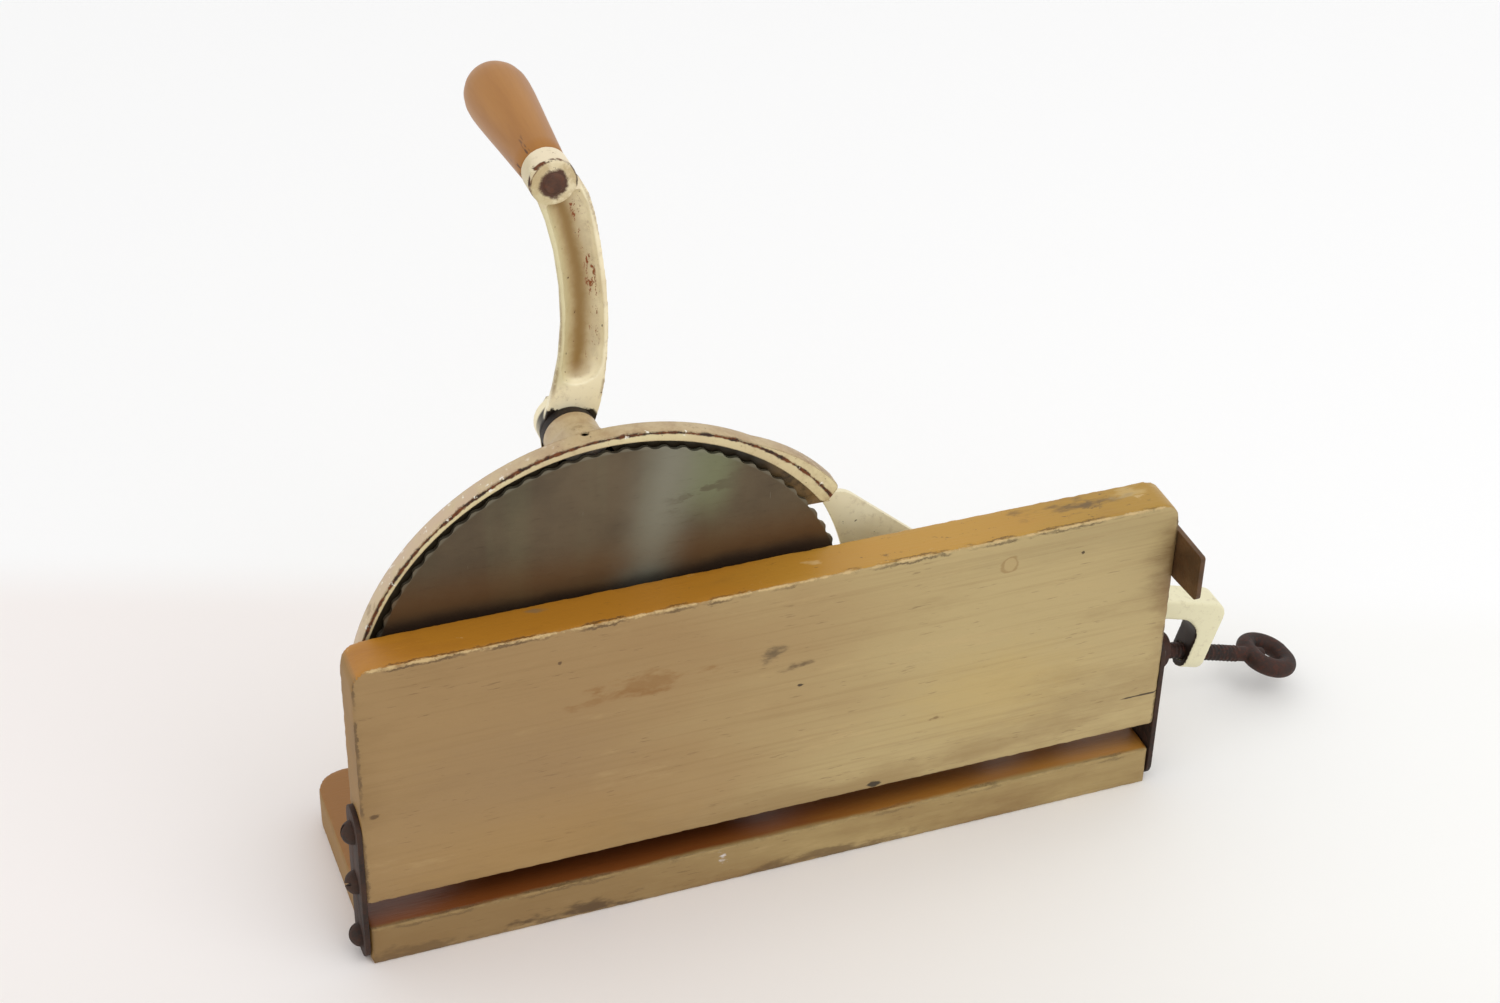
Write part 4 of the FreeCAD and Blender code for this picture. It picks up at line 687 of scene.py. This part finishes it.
def chippedRing(paint, coat, bare):  # iron and white bits show along the ring's front edges
    look = housingLook
    depth = paint.depth
    ragged = paint.ragged - 0.5
    ringMiddle = middleOf("blade") + Vector((look["ringShift"], 0, 0))
    rim = (paint.awayFrom(ringMiddle) - look["ringOuter"] + 0.0007).size()
    nearRim = (rim + depth.most(0) * 0.35 + ragged * 0.003).below(0.0003, 0.0009)
    band = depth.below(0.0011, 0.0018) * paint.up.between(0, 0.01)
    bits = paint.bits.between(0.63, 0.67)
    coat = paint.mix(bits * band * rim.below(0.0008, 0.0018), coat, look["white"])
    bare = bare.most(nearRim * band * paint.mottle.between(0.28, 0.4)) * (1 - bits * 0.8)
    bevelled = paint.edge(0.0011) * (paint.away - look["ringInner"]).between(0.0016, 0.0022)
    rightEnd = paint.right.between(0.05, 0.062) * depth.below(0.0009, 0.0016)
    bare = bare.most((bevelled * rightEnd * 1.2 + ragged * 0.9).between(0.7, 0.85))
    return coat, bare


def housingInsideShade(paint):  # painted shade: dark behind the blade, and towards the ring's open end dirt and painted light
    look = housingLook
    right, depth = paint.right, paint.depth
    inside = paint.away.below(look["ringInner"] + 0.0001, look["ringInner"] + 0.0006)
    behind = depth.between(0.0008, 0.0014) * paint.y.below(look["caseFront"], look["caseFront"] + 0.0004)
    # the ring's open end: dirt, and painted light where light comes in through it
    endDirtAndLight = right.between(0.055, 0.075) * depth.between(0.003, 0.005)
    dark = paint.layers(look["inside"],
        (paint.fine, look["insideDust"]),
        (endDirtAndLight * paint.mottle.between(0.35, 0.6), look["insideDirtAndLight"]))
    outward = (paint.facing(1, 0, 0) * right + paint.facing(0, 0, 1) * paint.up) / paint.away
    hidden = paint.facing(0, 1, 0).below(0.1, 0.4) * outward.below(0.2, 0.5)
    return inside * behind * hidden, dark


def housingEnamel(name):  # pale front, tan flanks, painted shade inside behind the blade
    look = housingLook
    paint = Paint(name)
    paint.patterns(housingPatterns)
    coat, bare = enamelCoat(paint, **look["coat"])
    middle = middleOf("blade")
    paint.right, paint.up, paint.away = paint.x - middle[0], paint.z - middle[2], paint.awayFrom(middle)
    paint.depth = paint.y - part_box("blade_housing")[0][1]
    paint.ahead = paint.facing(0, -1, 0).between(0.5, 0.8)
    coat = paint.layers(coat,
        (paint.mottle.between(0.55, 0.68) * 0.35, look["tan"]),
        housingFlanks(paint))
    coat, bare = chippedRing(paint, coat, bare)
    endSoot = paint.right.between(0.066, 0.078) * paint.depth.below(0.0055, 0.0067)
    endSoot = endSoot * (0.7 - paint.ahead * 0.55)
    coat = paint.layers(coat,
        (endSoot * paint.fine.between(0.35, 0.55), enamelLook["grime"]),
        housingInsideShade(paint))
    return enamelFinish(paint, coat, bare)


def bladeHousing():
    housing = merged("blade_housing", "bladeHousing")
    softened(housing, housingLook["softness"])
    settle(housing, housingEnamel("housingEnamel"), "base_frame", "blade_housing")


bladeHousing()
print("housing made")


# The crank arm: a bowed bar with a half round back and a hollowed front, a hub and a boss
millimetre = 0.001
crankLook = {
    "bow": 0.153, "shaftBehind": 0.0156, "grid": 0.0005, "softenings": 6, "sides": 36,
    # each section: how far along, half its width, its depth, how far to the right, in mm
    "bar": [(-7, 7.4, 8.6, 0), (0, 10.4, 9.8, 0), (9, 10.4, 9.8, 0), (18, 10, 9.6, 0), (30, 9.4, 9.5, 0),
            (45, 9, 9.5, 0), (60, 8.8, 9.5, 0), (75, 8.8, 9.5, 0.3), (88, 9.2, 9.6, 0.9),
            (97, 9.5, 10, 1.1), (104, 8.8, 10, 0.8), (109, 6.4, 9, 0.4)],
    "trough": [(19, 3, 2, 0), (21, 6.4, 5.2, 0), (25, 7.8, 6.8, 0), (35, 7.6, 7.2, 0), (50, 7.2, 7.2, 0),
               (65, 7, 7.2, 0), (80, 7.1, 7.2, 0.5), (92, 7.6, 7.2, 1.2), (99, 6.8, 7, 1.4)],
    "hubRadius": 0.0104, "hubDepth": 0.0098, "bossRadius": 0.0086, "bossDepth": 0.012, "padEdge": 0.0008,
    "dishRadius": 0.0066, "dishDepth": 0.0009,
    "coat": dict(clean=(252, 240, 204), aged=(226, 208, 168), chips=0.14, specks=0.05, edge=0.0008),
    # the next three colours paint shade: on the arm's left side and in its trough, the trough's partly
    # dirt
    "leftSideShade": (208, 198, 154), "troughShadeAndDirt": (168, 136, 82), "valleyShade": (124, 92, 44),
    "bright": (140, 74, 32), "bossFace": (188, 164, 120), "pit": (78, 46, 28), "collar": (30, 22, 17),
}
crankPatterns = {
    "mottle": dict(scale=120, detail=5, roughness=0.7, shift=(4, 4, 9)),
    "flecks": dict(scale=260, stretch=(1, 1, 0.45), detail=5, roughness=0.8, shift=(3, 3, 3)),
}


def bowLine(start, end):  # the ways along and aside, and how far off the bow's middle is
    along = (end - start).normalized()
    aside = Vector((along[2], 0, -along[0]))
    return along, aside, math.sqrt(crankLook["bow"] ** 2 - ((end - start).length / 2) ** 2)


def troughShadeAndDirt(paint, coat, start, end):  # painted shade in the hollow, partly dirt: browner to the trough's middle; rusty on its right wall
    look = crankLook
    mottle = paint.mottle
    along, aside, chord = bowLine(start, end)
    across = paint.awayFrom((start + end) / 2 - aside * chord) - look["bow"]
    toHub = paint.awayFrom(start)
    deep = (paint.y - start[1]).between(0.0016, 0.0036)
    inTrough = deep * toHub.between(0.016, 0.026) * paint.facing(0, -1, 0).between(0, 0.2)
    # painted shade down the trough's middle, partly dirt
    valleyShade = (across + 0.0002 + (mottle - 0.5) * 0.003).size().below(0, 0.0072)
    wall = across.between(0.0018, 0.003) * across.below(0.0062, 0.0072)
    outer = across.size().between(0.0082, 0.0092) * toHub.between(0.014, 0.02)
    return paint.layers(coat,
        # painted shade on the arm's left side, olive
        (across.below(-0.005, -0.001) * toHub.between(0.016, 0.024) * 0.75, look["leftSideShade"]),
        (valleyShade * inTrough, look["troughShadeAndDirt"]),
        (valleyShade * valleyShade * inTrough * 0.55, look["valleyShade"]),
        (across.between(0.002, 0.005) * inTrough * mottle.between(0.35, 0.65) * 0.35, enamelLook["grime"]),
        (paint.flecks.between(0.55, 0.59) * wall * inTrough, look["bright"]),
        (outer * paint.ragged.between(0.35, 0.6) * 0.6, enamelLook["grime"]))


def rustyBoss(paint, coat, bare, start, end):  # a tan face, a crack round it and a rusty pit
    look = crankLook
    mottle = paint.mottle
    ragged = paint.ragged - 0.5
    depth = paint.y - start[1]
    toRivet = paint.awayFrom(end)
    face = toRivet.below(0.0083, 0.0088) * depth.below(0.0012, 0.0018)
    flank = depth.between(0.0002, 0.0006) * depth.below(0.0022, 0.003)
    crack = (toRivet - 0.0088 + ragged * 0.002).size().below(0.0002, 0.0007) * face.most(flank)
    pit = (toRivet + ragged * 0.006).below(0.0046, 0.006)
    coat = paint.layers(coat,
        (toRivet.below(0.0095, 0.0105) * (1 - face) * 0.35, enamelLook["pink"]),
        (face * (0.4 + mottle.between(0.4, 0.6) * 0.5), look["bossFace"]),
        (pit * face, look["pit"]))
    return coat, bare.most(crack * mottle.between(0.44, 0.54))


def blackCollar(paint, start):  # the hub's front is bare and black but for its upper edge
    upTo = start[2] + 0.0088 - paint.z + (paint.ragged - 0.5) * 0.008 - (paint.x - start[0]) * 0.15
    hub = paint.awayFrom(start).below(0.0118, 0.013) * (paint.y - start[1]).below(0.0045, 0.006)
    shown = hub * upTo.between(-0.0003, 0.0003) * paint.facing(0, -1, 0.3).between(-0.2, 0.2)
    return shown, crankLook["collar"]


def crankEnamel(name, start, end):
    paint = Paint(name)
    paint.patterns(crankPatterns)
    coat, bare = enamelCoat(paint, **crankLook["coat"])
    coat = troughShadeAndDirt(paint, coat, start, end)
    coat, bare = rustyBoss(paint, coat, bare, start, end)
    coat = paint.layers(coat, blackCollar(paint, start))
    return enamelFinish(paint, coat, bare)


def bowedBar(name, sections, start, end):  # D shaped sections, flat to the front, along an arc
    bow = crankLook["bow"]
    span = (end - start).length
    along, aside, chord = bowLine(start, end)

    def middle(section):
        reach = section[0] * millimetre
        sag = math.sqrt(bow ** 2 - (reach - span / 2) ** 2) - chord
        return start + along * reach + aside * (sag + section[3] * millimetre)

    first = sections[0]
    bar = disc(name, crankLook["sides"], millimetre, middle(first))
    mode("EDIT")
    pick(bar, "VERT", lambda vert: vert.co.y < start[1] - 0.00001)
    bpy.ops.transform.resize(value=(1, 0, 1), center_override=middle(first))
    bpy.ops.mesh.select_all(action="SELECT")
    bpy.ops.transform.resize(value=(first[1], first[2], 1), center_override=middle(first))
    pick(bar, "FACE", lambda face: True)
    for before, after in zip(sections, sections[1:]):
        step = middle(after) - middle(before)
        growth = (after[1] / before[1], after[2] / before[2], 1)
        drawn(step, growth, middle(after))
    bpy.ops.mesh.select_all(action="SELECT")
    bpy.ops.mesh.remove_doubles(threshold=0.000001)
    closedUp()
    return bar


def roundPad(name, place, radius, depth):  # a disc standing back from its place
    middle = place + Vector((0, depth / 2, 0))
    bpy.ops.mesh.primitive_cylinder_add(vertices=72, radius=radius, depth=depth, location=middle,
                                        rotation=quarterTurn)
    pad = named(name)
    softened(pad, crankLook["padEdge"], 3, 60)
    return pad


def crankArm():
    look = crankLook
    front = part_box("crank_shaft")[1][1] - look["shaftBehind"]
    start, end = middleOf("crank_shaft"), middleOf("handle_spindle")
    start[1] = end[1] = front
    arm = bowedBar("crankArm", look["bar"], start, end)
    ahead = Vector((0, millimetre, 0))
    cut(arm, bowedBar("trough", look["trough"], start - ahead, end - ahead))
    hub = roundPad("hub", start, look["hubRadius"], look["hubDepth"])
    boss = roundPad("boss", end, look["bossRadius"], look["bossDepth"])
    bowl = (look["dishRadius"] ** 2 + look["dishDepth"] ** 2) / (2 * look["dishDepth"])
    bpy.ops.mesh.primitive_uv_sphere_add(segments=96, ring_count=64, radius=bowl,
                                         location=end + Vector((0, look["dishDepth"] - bowl, 0)))
    cut(boss, named("dish"))
    joined(arm, hub, boss)
    recast(arm, look["grid"], look["softenings"])
    settle(arm, crankEnamel("crankEnamel", start, end), "crank", "crank_arm", smooth=60)


crankArm()
print("crank made")


# The handle: a turned wooden grip, swelling towards its round end, where the spindle's head is let in
handleLook = {
    "sides": 72, "pitRadius": 0.006, "pitDepth": 0.0022,
    # how far along from the crank, and how thick there, in shares of the length and of the belly
    "profile": [(0, 0.63), (0.01, 0.68), (0.1, 0.72), (0.25, 0.785), (0.4, 0.85), (0.55, 0.92),
                (0.68, 0.975), (0.77, 1), (0.83, 0.995), (0.89, 0.94), (0.94, 0.83), (0.975, 0.69),
                (0.993, 0.585), (1, 0.53)],
    "wood": (156, 101, 36), "pale": (172, 116, 46), "grain": (124, 76, 36), "scratch": (70, 42, 24),
    "relief": 0.00006, "lacquer": 0.05,
}
handlePatterns = {
    "long": dict(scale=70, stretch=(1, 0.12, 1), detail=5),
    "fine": dict(scale=500, stretch=(1, 0.05, 1), detail=5, roughness=0.7),
    "scratch": dict(scale=240, stretch=(1, 0.16, 1), detail=3, roughness=0.8, shift=(2, 2, 2)),
}


def handleWood(name):  # scratched dark beside the crank
    look = handleLook
    paint = Paint(name)
    paint.patterns(handlePatterns)
    nearCrank = (paint.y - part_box("handle")[0][1]).below(0.004, 0.018)
    colour = paint.layers(look["wood"],
        (paint.long.between(0.3, 0.75), look["pale"]),
        (paint.fine.between(0.5, 0.75) * 0.12, look["grain"]),
        (paint.scratch.between(0.57, 0.64) * nearCrank * 0.8, look["scratch"]))
    return paint.finish(colour, 0.38 + paint.fine * 0.1, height=paint.fine, depth=look["relief"],
                        coat=look["lacquer"])


def turnedHandle():
    low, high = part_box("handle")
    belly = (high[0] - low[0]) / 2
    length = high[1] - low[1]
    middle = middleOf("handle")
    middle[1] = low[1]
    stations = handleLook["profile"]
    handle = disc("turnedHandle", handleLook["sides"], belly * stations[0][1], middle, quarterTurn)
    mode("EDIT")
    pick(handle, "FACE", lambda face: True)
    for (before, wide), (after, wider) in zip(stations, stations[1:]):
        there = middle + Vector((0, length * after, 0))
        drawn((0, length * (after - before), 0), (wider / wide, 1, wider / wide), there)
    bpy.ops.mesh.inset(thickness=belly * stations[-1][1] - handleLook["pitRadius"])
    pushed((0, -handleLook["pitDepth"], 0))
    closedUp()
    settle(handle, handleWood("handleWood"), "grip", "handle", smooth=40)


turnedHandle()
print("handle made")


# The table clamp: a soft edged casting, and a screw with a rolled thread and a forged eye
clampLook = {
    "grid": 0.0006, "softenings": 5, "faceToEye": 0.059, "shaftStart": 0.0057,
    "core": 0.0033, "crest": 0.0039, "pitch": 0.002, "threadEnd": 0.044, "threadSides": 28,
    "eyeBend": 0.0084, "eyeWire": 0.0041, "eyeStretch": 0.0021, "eyeTurn": 2, "screwGrid": 0.00042,
    "screwSoftenings": 2, "ridge": 0.46,
    "coat": dict(clean=(234, 227, 190), aged=(220, 210, 168), chips=0.0, specks=0.02, edge=0.0012),
    "iron": (28, 18, 12), "ironDust": (48, 31, 20), "legInwards": (-0.956, 0, 0.292), "legStart": 0.176,
}


def clampCoat(name):  # the leg's inner side is bare brown iron
    look = clampLook
    paint = Paint(name)
    coat, bare = enamelCoat(paint, **look["coat"])
    right = paint.x + (paint.ragged - 0.5) * 0.006
    inner = paint.facing(*look["legInwards"]).between(0.55, 0.8)
    inner = inner * right.between(look["legStart"], look["legStart"] + 0.003)
    coat = paint.mix(inner, coat, paint.mix(paint.fine, look["iron"], look["ironDust"]))
    return enamelFinish(paint, coat, bare)


def clampArm():
    arm = merged("clamp_arm", "clampArm")
    recast(arm, clampLook["grid"], clampLook["softenings"])
    settle(arm, clampCoat("clampCoat"), "clamp", "clamp_arm", smooth=60)


def screwLine():  # where the pad's face stands, and which way the screw points
    for joint in frame["record"]["behaviour"]["joints"]:
        if joint["name"] == "clamp_screw_turn":
            return Vector(joint["pos_m"]), Vector(joint["axis"])


def laidAlong(piece):  # a piece modelled upwards is laid along the screw's line
    face, axis = screwLine()
    piece.location = face
    piece.rotation_euler = axis.to_track_quat("Z", "Y").to_euler()
    only(piece)
    bpy.ops.object.transform_apply(location=True, rotation=True)


def screwThread(look):  # one turn of a pointed profile, wound up the shaft
    turns = round((look["threadEnd"] - look["shaftStart"]) / look["pitch"]) - 1
    profile = look["pitch"] * look["ridge"]
    place = (look["crest"] - profile, 0, look["shaftStart"] + look["pitch"])
    thread = disc("thread", 3, profile, place, quarterTurn, "NOTHING")
    modify(thread, "SCREW", angle=2 * math.pi, screw_offset=look["pitch"], iterations=turns, axis="Z",
           steps=look["threadSides"], render_steps=look["threadSides"])
    mode("EDIT")
    bpy.ops.mesh.select_all(action="SELECT")
    bpy.ops.mesh.fill_holes(sides=3)
    closedUp()
    return thread


def screwEye(look):  # a ring of round wire, drawn out sideways
    bpy.ops.mesh.primitive_torus_add(major_radius=look["eyeBend"], minor_radius=look["eyeWire"],
                                     major_segments=48, minor_segments=20,
                                     location=(0, 0, look["faceToEye"]), rotation=quarterTurn)
    eye = named("eye")
    mode("EDIT")
    for side in (-1, 1):
        pick(eye, "VERT", lambda vert: vert.co.x * side > 0.0001)
        bpy.ops.transform.translate(value=(side * look["eyeStretch"], 0, 0))
    bpy.ops.mesh.select_all(action="SELECT")
    turn = math.radians(look["eyeTurn"])
    bpy.ops.transform.rotate(value=turn, orient_axis="Z", center_override=(0, 0, 0))
    mode("OBJECT")
    return eye


def clampScrew():
    look = clampLook
    shaft = disc("clampScrew", 24, look["core"], (0, 0, look["shaftStart"]))
    mode("EDIT")
    pick(shaft, "FACE", lambda face: True)
    pushed((0, 0, look["faceToEye"] - look["eyeBend"]))
    closedUp()
    joined(shaft, screwThread(look), screwEye(look))
    recast(shaft, look["screwGrid"], look["screwSoftenings"])
    laidAlong(shaft)
    settle(shaft, rustySteel, "screw", "clamp_screw", smooth=60)


clampArm()
clampScrew()
print("clamp made")


# Sheet steel: the side strips, the hook and the stop plate get rounded edges
sheetLook = {"thinEdge": 0.0003, "thickEdge": 0.0004}


def sheetPiece(node, name, softness, material, body):
    piece = merged(node, name)
    softened(piece, softness)
    settle(piece, material, body, node)


sheetPiece("tray_strip_left", "stripLeft", sheetLook["thinEdge"], darkSteel, "tray")
sheetPiece("tray_strip_right", "stripRight", sheetLook["thinEdge"], darkSteel, "tray")
sheetPiece("tray_hook", "trayHook", sheetLook["thickEdge"], brownSteel, "tray")
sheetPiece("stop_plate", "stopPlate", sheetLook["thinEdge"], sheetEnamel, "stop")
print("sheet pieces made")


# Slotted screws with domed heads: one is modelled, and copied to each seat
screwLook = {
    "sides": 40, "rings": 5, "sweep": 77.4, "slotWidth": 0.24, "slotDepth": 0.45, "edge": 0.035,
    "sink": 0.0002,
}
dome = (0.00475, 0.0043, 0.0022, 0.004)
toLeft, toRight, upwards = (-1, 0, 0), (1, 0, 0), (0, 0, 1)
screwSets = {
    # name, finish, body, head's radius and rise with shank's radius and length, and the seats:
    # where each is, which way it looks, and how far the slot is turned
    "tray_strip_screws": ("stripScrews", darkSteel, "tray", dome, [
        ((-0.167, -0.039, 0.036), toLeft, 35), ((-0.167, -0.039, 0.061), toLeft, 105),
        ((0.167, -0.039, 0.036), toRight, 55), ((0.167, -0.039, 0.061), toRight, 125)]),
    "tray_pivot_screws": ("pivotScrews", darkSteel, "base_frame", dome, [
        ((-0.167, -0.039, 0.009), toLeft, 120), ((0.167, -0.039, 0.009), toRight, 70)]),
    "hook_screws": ("hookScrews", brownSteel, "tray", (0.0034, 0.001, 0.0022, 0.004), [
        ((0.167, -0.04375, 0.1174), toRight, 10), ((0.167, -0.03525, 0.1174), toRight, 80)]),
    "foot_screws": ("footScrews", brownSteel, "base_frame", (0.0052, 0.0026, 0.0026, 0.004), [
        ((-0.1086, 0.001, 0.024), upwards, 0), ((-0.1086, 0.019, 0.024), upwards, 25),
        ((-0.0106, 0.001, 0.024), upwards, 50), ((-0.0106, 0.019, 0.024), upwards, 75)]),
    "bracket_screws": ("bracketScrews", darkSteel, "base_frame", (0.0038, 0.002, 0.002, 0.004), [
        ((0.124, -0.02305, 0.0205), upwards, 0), ((0.138, -0.02305, 0.0205), upwards, 40),
        ((0.124, 0.01305, 0.0205), upwards, 80), ((0.138, 0.01305, 0.0205), upwards, 120)]),
}


def domedHead(name, radius, rise):  # rises in shrinking rings
    look = screwLook
    head = disc(name, look["sides"], radius)
    mode("EDIT")
    pick(head, "FACE", lambda face: True)
    sweep = math.radians(look["sweep"])
    width, height = 1.0, 0.0
    for ring in range(1, look["rings"] + 1):
        turn = sweep * ring / look["rings"]
        wide, high = math.cos(turn), rise * math.sin(turn) / math.sin(sweep)
        drawn((0, 0, high - height), (wide / width, wide / width, 1), (0, 0, high))
        width, height = wide, high
    closedUp()
    return head


def slottedScrew(name, radius, rise, shank, shankLength):
    look = screwLook
    screw = domedHead(name, radius, rise)
    slotSize = (radius * 3, radius * look["slotWidth"], rise * look["slotDepth"] * 2)
    bpy.ops.mesh.primitive_cube_add(size=1, location=(0, 0, rise), scale=slotSize)
    cut(screw, named("slot"))
    bpy.ops.mesh.primitive_cylinder_add(vertices=24, radius=shank, depth=shankLength,
                                        location=(0, 0, look["sink"] - shankLength / 2))
    joined(screw, named("stem"))
    softened(screw, radius * look["edge"], 1)
    return screw


def standScrew(screw, name, seat, towards, turn):  # a copy on its seat, pointing outwards, its slot turned
    copy = screw.copy()
    copy.data = screw.data.copy()
    copy.name = name
    bpy.context.collection.objects.link(copy)
    only(copy)
    copy.rotation_euler = (0, 0, math.radians(turn))
    bpy.ops.object.transform_apply(rotation=True)
    copy.rotation_euler = Vector(towards).to_track_quat("Z", "Y").to_euler()
    copy.location = seat
    bpy.ops.object.transform_apply(location=True, rotation=True)
    return copy


def screwSet(node, name, material, body, sizes, seats):
    pattern = slottedScrew(name + "Pattern", *sizes)
    copies = [standScrew(pattern, name + str(order), *seat) for order, seat in enumerate(seats)]
    bpy.data.objects.remove(pattern)
    joined(*copies)
    copies[0].name = name
    settle(copies[0], material, body, node)


for node, screws in screwSets.items():
    screwSet(node, *screws)
print("screws made")


# The stage: a pale table, soft light and the photograph's camera
stageLook = {
    # the table is painted darker towards the camera as painted shade, and lighter to the right as painted
    # light
    "table": (249.72, 243.69, 241.23), "tableRightLit": (252.08, 251.49, 249.12),
    "tableNearShade": (238.1, 235.57, 229.09), "far": (255, 255, 255),
    "tableEnds": 0.13, "floorSize": 16, "floorRoughness": 0.6,
    "sky": 0.88, "keyPower": 6.5, "keySize": 1.2, "keyPlace": (0.6, -1.05, 1.6),
    "cameraPlace": (-0.3169, -0.8268, 0.7716), "lens": 67.92, "film": 36, "sight": 40,
    "heading": -21.19, "tilt": 54.85, "roll": 1.465,
}


def stageFloor():
    look = stageLook
    bpy.ops.mesh.primitive_plane_add(size=look["floorSize"])
    floor = bpy.context.object
    floor.name = "floor"
    paint = Paint("tableTop")
    aim = math.radians(look["heading"])
    away = paint.y * math.cos(aim) - paint.x * math.sin(aim)
    aside = paint.x * math.cos(aim) + paint.y * math.sin(aim)
    colour = paint.layers(look["table"],
        # painted light: lighter to the right
        (aside.between(-0.15, 0.3), look["tableRightLit"]),
        # painted shade: darker towards the camera
        (away.below(-0.3, -0.05), look["tableNearShade"]),
        (away.between(look["tableEnds"] - 0.02, look["tableEnds"] + 0.03), look["far"]))
    floor.data.materials.append(paint.finish(colour, look["floorRoughness"]))


def stageSky():  # white where it is seen or mirrored, a little dimmer as light
    world = bpy.data.worlds.new("paleRoom")
    bpy.context.scene.world = world
    world.use_nodes = True
    nodes = world.node_tree.nodes
    link = world.node_tree.links.new
    nodes.clear()
    path = nodes.new("ShaderNodeLightPath")
    seen = path.outputs["Is Camera Ray"]
    for ray in ("Is Glossy Ray", "Is Transmission Ray"):
        either = nodes.new("ShaderNodeMath")
        either.operation = "MAXIMUM"
        link(seen, either.inputs[0])
        link(path.outputs[ray], either.inputs[1])
        seen = either.outputs[0]
    strength, glow, out = (nodes.new("ShaderNode" + kind)
                           for kind in ("MapRange", "Background", "OutputWorld"))
    strength.inputs["To Min"].default_value = stageLook["sky"]
    glow.inputs["Color"].default_value = (1, 1, 1, 1)
    link(seen, strength.inputs["Value"])
    link(strength.outputs[0], glow.inputs["Strength"])
    link(glow.outputs[0], out.inputs["Surface"])


def stageKey():
    bpy.ops.object.light_add(type="AREA", location=stageLook["keyPlace"])
    key = bpy.context.object
    key.name = "softKey"
    key.data.size = stageLook["keySize"]
    key.data.energy = stageLook["keyPower"]
    key.rotation_euler = Vector(stageLook["keyPlace"]).to_track_quat("Z", "Y").to_euler()


def stageCamera():
    look = stageLook
    bpy.ops.object.camera_add(location=look["cameraPlace"])
    camera = bpy.context.object
    turn = Matrix.Identity(3)
    for angle, axis in ((look["heading"], "Z"), (look["tilt"], "X"), (look["roll"], "Z")):
        turn = turn @ Matrix.Rotation(math.radians(angle), 3, axis)
    camera.rotation_euler = turn.to_euler()
    camera.data.lens = look["lens"]
    camera.data.sensor_width = look["film"]
    camera.data.clip_end = look["sight"]
    bpy.context.scene.camera = camera


stageFloor()
stageSky()
stageKey()
stageCamera()
bpy.context.scene.view_settings.view_transform = "Standard"
print("stage set")
